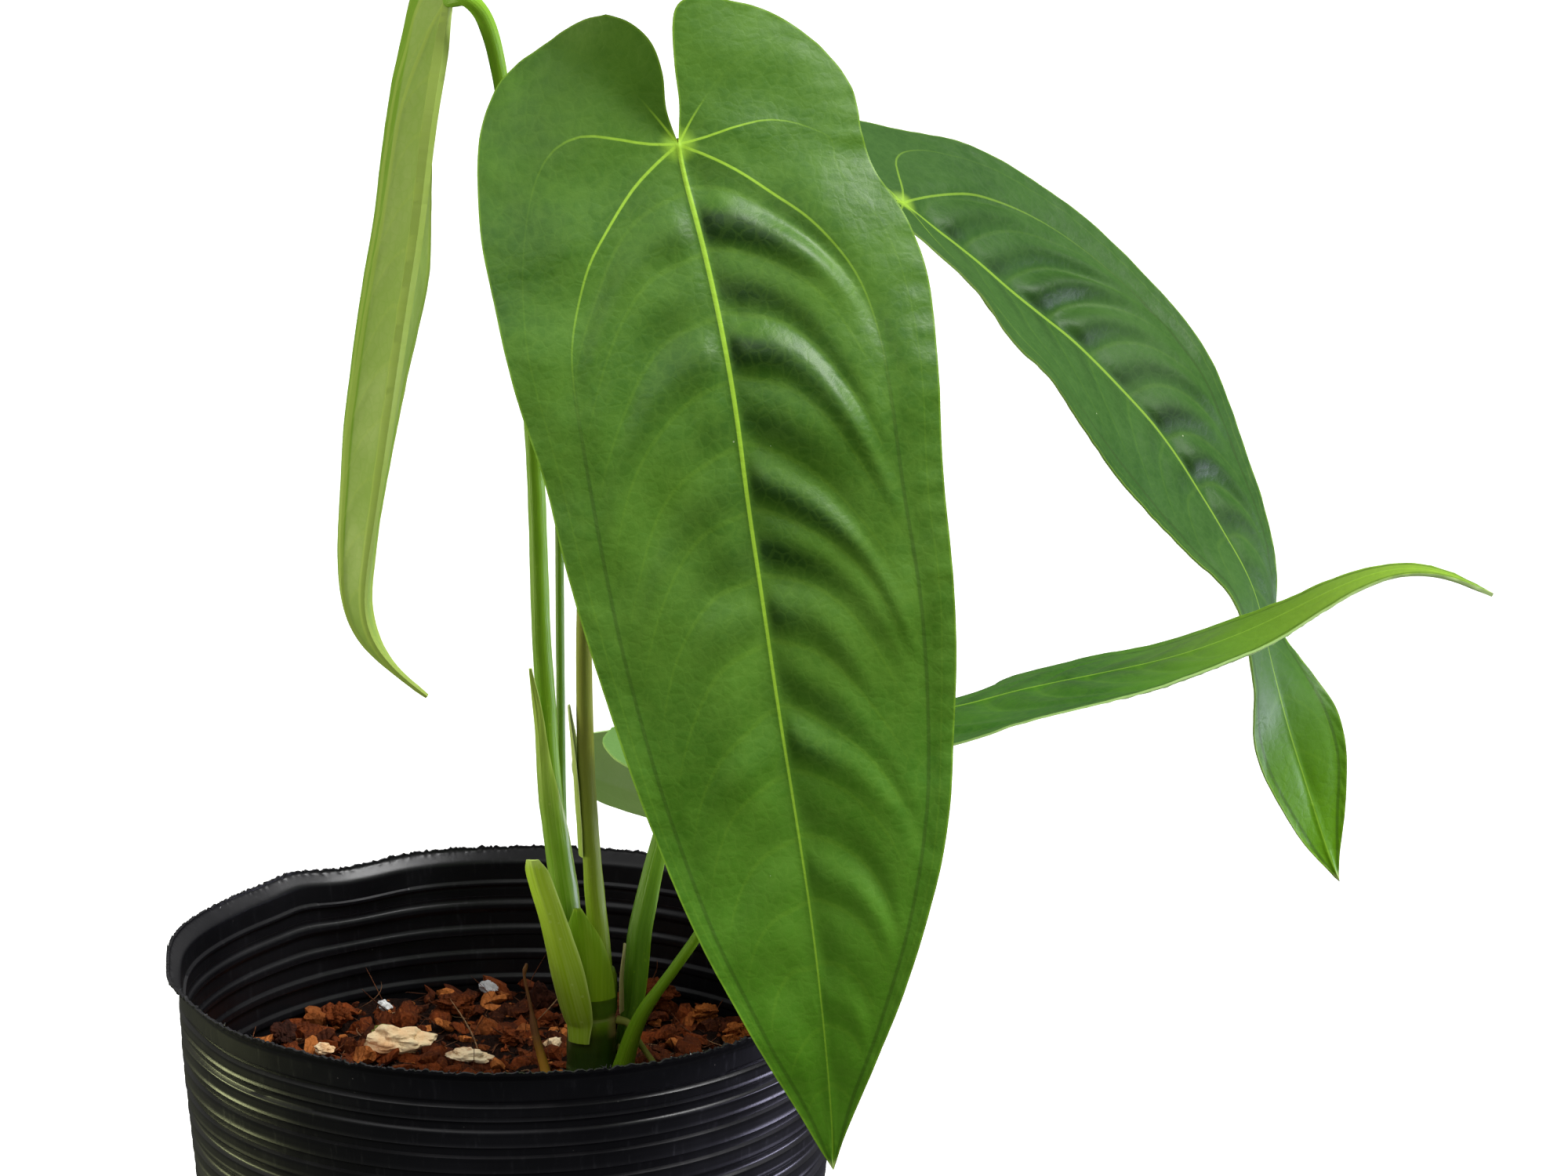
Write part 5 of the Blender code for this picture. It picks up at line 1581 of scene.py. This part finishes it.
stalk(
    "petiole_front_fine", "petiole_front",
    [
        on_stem(0.38, -0.43, -2), on_stem(0.38, -0.43, 3), (18.5, -0.5, 52), (17.3, -3, 76), (17.2, -8, 98),
        (17.6, -13, 118), (19.5, -22, 156), (24, -29, 186), (30, -35, 205), (35.5, -40.5, 214.5),
        under_leaf("blade_front", 2.6), under_leaf("blade_front", 0.2),
    ],
    [(0, 2.5), (0.06, 2.3), (0.14, 2.0), (0.5, 1.55), (0.9, 1.4), (0.94, 1.7), (0.985, 1.75), (1, 1.3)],
    olive, rings=170, groove=0.12, seed=1,
)
stalk(
    "petiole_left_fine", "petiole_left",
    [
        on_stem(-0.52, 0.32, -2), on_stem(-0.52, 0.32, 3), (10.8, 6, 58), (9.2, 6, 73), (8.4, 6, 90),
        (7.5, 5, 108), (6.8, 4, 143), (4.9, 2, 177), (2.5, 0, 211), (0.6, -1, 229), (-2, -3, 240),
        (-5.5, -5, 244.8), under_leaf("blade_left", 2.6), under_leaf("blade_left", 0.2),
    ],
    [(0, 2.5), (0.1, 2.3), (0.5, 1.9), (0.88, 1.6), (0.93, 1.8), (0.98, 1.75), (1, 1.4)],
    green, rings=190, groove=0.18, seed=2,
)
stalk(
    "petiole_rear_fine", "petiole_rear",
    [
        beside_stem(112, 14, 0.8), beside_stem(112, 20, 1.2), (12.2, 13.5, 45), (11.1, 15, 60), (11, 17, 95),
        (11, 20, 121), (11.2, 22, 145), (13.5, 25, 168), (22, 27, 182), (40, 29, 188), (60, 30, 187),
        (74, 30.6, 187.5), under_leaf("blade_rear", 2.6), under_leaf("blade_rear", 0.2),
    ],
    [(0, 1.2), (0.3, 0.95), (0.9, 0.9), (0.95, 1.15), (1, 0.9)], dark, rings=190, seed=3,
)
stalk(
    "petiole_right_fine", "petiole_right",
    [
        beside_stem(-38, 5.5, 2.0), beside_stem(-38, 9, 2.2), (28.4, -5, 23), (36, -7, 35), (42.3, -7.5, 45),
        (47.5, -7.5, 58), (48.5, -7, 70), under_leaf("blade_right", 3.4), under_leaf("blade_right", 0.4),
    ],
    [(0, 2.5), (0.12, 2.0), (0.3, 1.25), (0.6, 1.05), (0.92, 1.0), (0.96, 1.25), (1, 1.0)],
    green, rings=150, groove=0.1, seed=4,
)

stem_piece(stem_finish())

tip_bract = stalk_finish(
    "bract_green", (0.2, 0.35, 0.008), (0.17, 0.34, 0.01), (0.3, 0.46, 0.03), low_z=120, high_z=145
)
pale_bract = stalk_finish(
    "bract_pale", (0.24, 0.4, 0.008), (0.4, 0.6, 0.03), (0.6, 0.76, 0.2), low_z=118, high_z=150
)
high_bract = stalk_finish(
    "bract_high", (0.14, 0.3, 0.008), (0.36, 0.5, 0.07), (0.44, 0.56, 0.12), low_z=150, high_z=192
)
inner_bract = stalk_finish(
    "bract_inner", (0.3, 0.42, 0.06), (0.52, 0.62, 0.22), (0.56, 0.66, 0.26), low_z=155, high_z=190
)
dark_bract = stalk_finish(
    "bract_dark", (0.08, 0.2, 0.006), (0.11, 0.26, 0.01), (0.24, 0.42, 0.02), low_z=110, high_z=160
)
dry_bract = stalk_finish(
    "bract_dry", (0.3, 0.26, 0.08), (0.36, 0.36, 0.12), (0.5, 0.44, 0.2), rough=0.6, low_z=117, high_z=132
)

axis = (STEM_X, STEM_Y)
WRAP = STEM_RADIUS + 0.15
OUTER = WRAP + 0.7
bract(
    "sheath_at_stem_tip_fine", "sheath_at_stem_tip",
    [(*axis, 26), (*axis, 36), (STEM_X - 1, STEM_Y - 0.8, 48)],
    (WRAP, WRAP, WRAP), (-0.25, -1, 0), (75, 60, 40, 8), tip_bract,
)
bract(
    "cataphyll_left_fine", "cataphyll_left",
    [
        (*axis, 16), (*axis, 22), (15.3, 0.6, 31), (12.8, -1, 40), (10.6, -2.2, 48), (8.6, -3, 55),
        (7.4, -3.6, 60.5),
    ],
    (WRAP, OUTER, 5.8, 4.8, 4.4, 4.2), (-0.45, -0.9, 0),
    (24, 27, 30, 33, 37, 40, 43, 45, 46, 46, 46, 45, 44, 43, 42, 38, 20),
    pale_bract,
)
bract(
    "cataphyll_on_left_petiole_fine", "cataphyll_on_left_petiole",
    [(13.4, 5.2, 38), (10.8, 6, 58), (9.2, 6, 73), (8.4, 6, 90), (7.8, 5.5, 100)],
    (2.6, 2.6, 2.6, 2.6, 4.0), (-0.6, -0.8, 0), (95, 120, 110, 80, 45, 24, 5), high_bract,
)
bract(
    "cataphyll_inner_fine", "cataphyll_inner", [(18.2, -1.2, 59), (17.4, -2.8, 74), (17.2, -7.2, 94)],
    (2.3, 2.3, 3.1), (-1, 0.1, 0), (50, 56, 52, 40, 10), inner_bract,
)
bract(
    "cataphyll_small_fine", "cataphyll_small", [(*axis, 22), (*axis, 30), (STEM_X + 0.6, STEM_Y, 38)],
    (OUTER, OUTER, OUTER), (1, -0.12, 0), (16, 17, 16, 12, 3), dry_bract, columns=14, rows=40,
)
bract(
    "cataphyll_tall_fine", "cataphyll_tall",
    [
        beside_stem(40, 8, 4.0), beside_stem(39, 14, 4.2), (27.4, 10.4, 22), (28.6, 12, 36), (30.2, 13.1, 44),
        (31.8, 14, 51), (34, 15.8, 60), (36.6, 17.8, 72),
    ],
    (3.4, 3.4, 3.0, 2.4), (-0.35, -1, 0.1), (20, 34, 46, 52, 50, 46, 40, 30, 6), dark_bract,
)

root_yellow = stalk_finish(
    "root_yellow", (0.2, 0.2, 0.02), (0.22, 0.24, 0.03), (0.34, 0.34, 0.08), rough=0.55
)
root_orange = stalk_finish(
    "root_dry_orange", (0.4, 0.19, 0.012), (0.1, 0.03, 0.012), (0.45, 0.26, 0.04), rough=0.6, low_z=108,
    high_z=116,
)
stalk(
    "aerial_root_long_fine", "aerial_root_long",
    [
        beside_stem(-8, 20, -0.6), beside_stem(-8, 19, 2.3), (27.8, -0.5, 16), (31.5, -2, 11), (33.4, -3, 7),
        (33.6, -3.1, MIX + 1), (33.6, -3.1, MIX - 1),
    ],
    [(0, 0.95), (0.2, 0.75), (1, 0.5)], root_yellow, rings=60, around=14, wobble=0.2, seed=5,
)
stalk(
    "aerial_root_short_fine", "aerial_root_short",
    [
        beside_stem(6, 13, -0.5), beside_stem(6, 12, 1.9), (26.6, 2.6, 8), (26.8, 2.4, MIX + 1),
        (26.8, 2.4, MIX - 1),
    ],
    [(0, 0.85), (0.3, 0.7), (1, 0.6)], root_yellow, rings=40, around=14, wobble=0.2, seed=6,
)
stalk(
    "dry_root_fine", "dry_root",
    [
        (9.2, -10.8, MIX - 1), (9.2, -10.8, MIX + 3), (7.8, -8, 12), (5.6, -6, 20), (4.6, -5, 26),
        (3.4, -4, 32), (3.9, -4, 35),
    ],
    [(0, 1.1), (0.45, 1.0), (0.6, 0.8), (0.68, 0.4), (0.92, 0.3), (0.96, 0.5), (1, 0.25)],
    root_orange, rings=70, around=14, wobble=0.22, seed=7,
)

black_plastic = pot_finish()
rim_low = POT_HEIGHT - 11.0
pot_wall("pot_wall", 0.3, rim_low, 0.42, 240, black_plastic)
pot_wall("pot_rim", rim_low, POT_HEIGHT, 0.3, 1100, black_plastic, ragged=0.75)
rim_burrs(black_plastic)
pot_floor(black_plastic)

husk = husk_finish("coco_husk", (0.04, 0.01, 0.004), (0.24, 0.05, 0.01), (0.54, 0.17, 0.04))
bed = husk_finish("coco_fines", (0.006, 0.002, 0.001), (0.03, 0.008, 0.003), (0.12, 0.035, 0.01))
mix_bed(bed)
husk_litter(husk)
coir(husk_finish("coir_fibre", (0.05, 0.018, 0.01), (0.2, 0.07, 0.03), (0.42, 0.25, 0.13)))

limestone = stone_finish("limestone_pale", (0.95, 0.82, 0.55), (0.85, 0.52, 0.25), (0.42, 0.16, 0.05))
mossy = stone_finish("limestone_mossy", (0.95, 0.8, 0.5), (0.85, 0.5, 0.24), (0.42, 0.16, 0.05), moss=1.0)
yellow_stone = stone_finish(
    "limestone_yellow_grain", (0.72, 0.6, 0.26), (0.5, 0.36, 0.12), (0.24, 0.12, 0.04)
)
perlite = stone_finish("perlite_white_grain", (0.82, 0.82, 0.8), (0.7, 0.7, 0.7), (0.4, 0.4, 0.4))
perlite_grey = stone_finish("perlite_grey_grain", (0.5, 0.5, 0.52), (0.36, 0.35, 0.34), (0.2, 0.19, 0.18))
dark_husk = husk_finish("husk_chip_dark", (0.02, 0.008, 0.006), (0.07, 0.02, 0.01), (0.16, 0.05, 0.02))
red_husk = husk_finish("husk_chip_red", (0.06, 0.014, 0.004), (0.2, 0.045, 0.01), (0.4, 0.12, 0.03))
orange_husk = husk_finish("husk_chip_orange", (0.2, 0.05, 0.01), (0.5, 0.15, 0.03), (0.65, 0.26, 0.07))
# Each loose piece on the mix: its finish, its slot and how rough its lump is.
loose = {
    "limestone_large": (mossy, "limestone", 0.28),
    "limestone_front": (limestone, "limestone", 0.3),
    "limestone_small": (limestone, "limestone", 0.3),
    "limestone_by_stem": (limestone, "limestone", 0.3),
    "limestone_yellow": (yellow_stone, "limestone_yellow", 0.3),
    "perlite_white": (perlite, "perlite", 0.35),
    "perlite_grey": (perlite_grey, "perlite_grey", 0.35),
    "husk_chip_upright": (dark_husk, "husk_dark", 0.3),
    "husk_chip_rear_right": (red_husk, "husk_red", 0.5),
    "husk_chip_orange": (orange_husk, "husk_orange", 0.4),
    "husk_chip_right": (orange_husk, "husk_orange", 0.45),
    "husk_chip_rear_middle": (red_husk, "husk_red", 0.5),
    "husk_chip_rear_left": (red_husk, "husk_red", 0.5),
    "husk_chip_left": (dark_husk, "husk_dark", 0.5),
    "husk_chip_middle": (red_husk, "husk_red", 0.5),
    "husk_chip_front_left": (red_husk, "husk_red", 0.5),
    "husk_chip_front": (dark_husk, "husk_dark", 0.5),
    "husk_chip_front_right": (orange_husk, "husk_orange", 0.5),
}
for index, (node, (finish, slot, chunky)) in enumerate(loose.items()):
    loose_lump(node, index, finish, chunky)


# ---- Floor, light and camera ----


def floor_plane():
    """A plain floor that catches the shadow."""
    shell = bmesh.new()
    bmesh.ops.create_grid(shell, x_segments=1, y_segments=1, size=9.0)
    mesh = bpy.data.meshes.new("floor")
    shell.to_mesh(mesh)
    shell.free()
    made, _, shader = start_material("pale_floor")
    shader.inputs["Base Color"].default_value = (0.86, 0.86, 0.86, 1)
    shader.inputs["Roughness"].default_value = 0.9
    shader.inputs["Specular IOR Level"].default_value = 0.1
    mesh.materials.append(made)
    floor = bpy.data.objects.new("floor", mesh)
    bpy.context.scene.collection.objects.link(floor)
    # The pot and the leaves neither reflect the floor nor take light from it.
    floor.visible_diffuse = False
    floor.visible_glossy = False


def soft_light(name, place, aim, size, power, colour=(1, 1, 1)):
    """A square of soft light at a place, turned to a point."""
    lamp = bpy.data.lights.new(name, "AREA")
    lamp.shape = "RECTANGLE"
    lamp.size, lamp.size_y = size
    lamp.energy = power
    lamp.color = colour
    made = bpy.data.objects.new(name, lamp)
    bpy.context.scene.collection.objects.link(made)
    made.location = place
    made.rotation_euler = (Vector(aim) - Vector(place)).to_track_quat("-Z", "Y").to_euler()
    return made


def broad_light(name, place, spread_degrees, power):
    """Even soft light from one direction, from this place towards the middle."""
    lamp = bpy.data.lights.new(name, "SUN")
    lamp.angle = math.radians(spread_degrees)
    lamp.energy = power
    made = bpy.data.objects.new(name, lamp)
    bpy.context.scene.collection.objects.link(made)
    made.rotation_euler = (-Vector(place)).to_track_quat("-Z", "Y").to_euler()


floor_plane()
broad_light("top_light", (0.6, -0.1, 1.0), 26, 4.6)
front = soft_light("front_light", (0.55, -1.15, 0.32), (0.06, 0, 0.2), (0.7, 0.6), 5.0)
front.visible_glossy = False
soft_light("sky_light", (-0.55, -0.75, 1.25), (0.02, 0, 0.25), (1.1, 0.8), 4.5)
soft_light("left_light", (-0.75, 0.12, 0.1), (0, 0, 0.06), (0.3, 0.2), 3.6, (0.95, 1.0, 0.5))
soft_light("right_light", (0.75, 0.14, 0.08), (0.05, 0, 0.06), (0.3, 0.16), 4.6, (0.74, 0.72, 1.0))

world = bpy.data.worlds.new("studio")
bpy.context.scene.world = world
world.use_nodes = True
sky = world.node_tree
sky.nodes["Background"].inputs["Color"].default_value = (1, 1, 1, 1)
up = add(sky, "SeparateXYZ", Vector=add(sky, "TexCoord").outputs["Generated"]).outputs[2]
sky.links.new(spread(sky, up, -0.5, 0.9, 0.07, 0.42), sky.nodes["Background"].inputs["Strength"])
bpy.context.scene.view_settings.view_transform = "Standard"

view = bpy.data.cameras.new("camera")
view.lens = 116.3
view.sensor_width = 36.0
view.clip_start = 0.05
view.clip_end = 40.0
camera = bpy.data.objects.new("camera", view)
bpy.context.scene.collection.objects.link(camera)
camera.location = (0.0596, -1.0417, 0.4922)
camera.rotation_euler = (math.radians(75), 0, 0)
bpy.context.scene.camera = camera
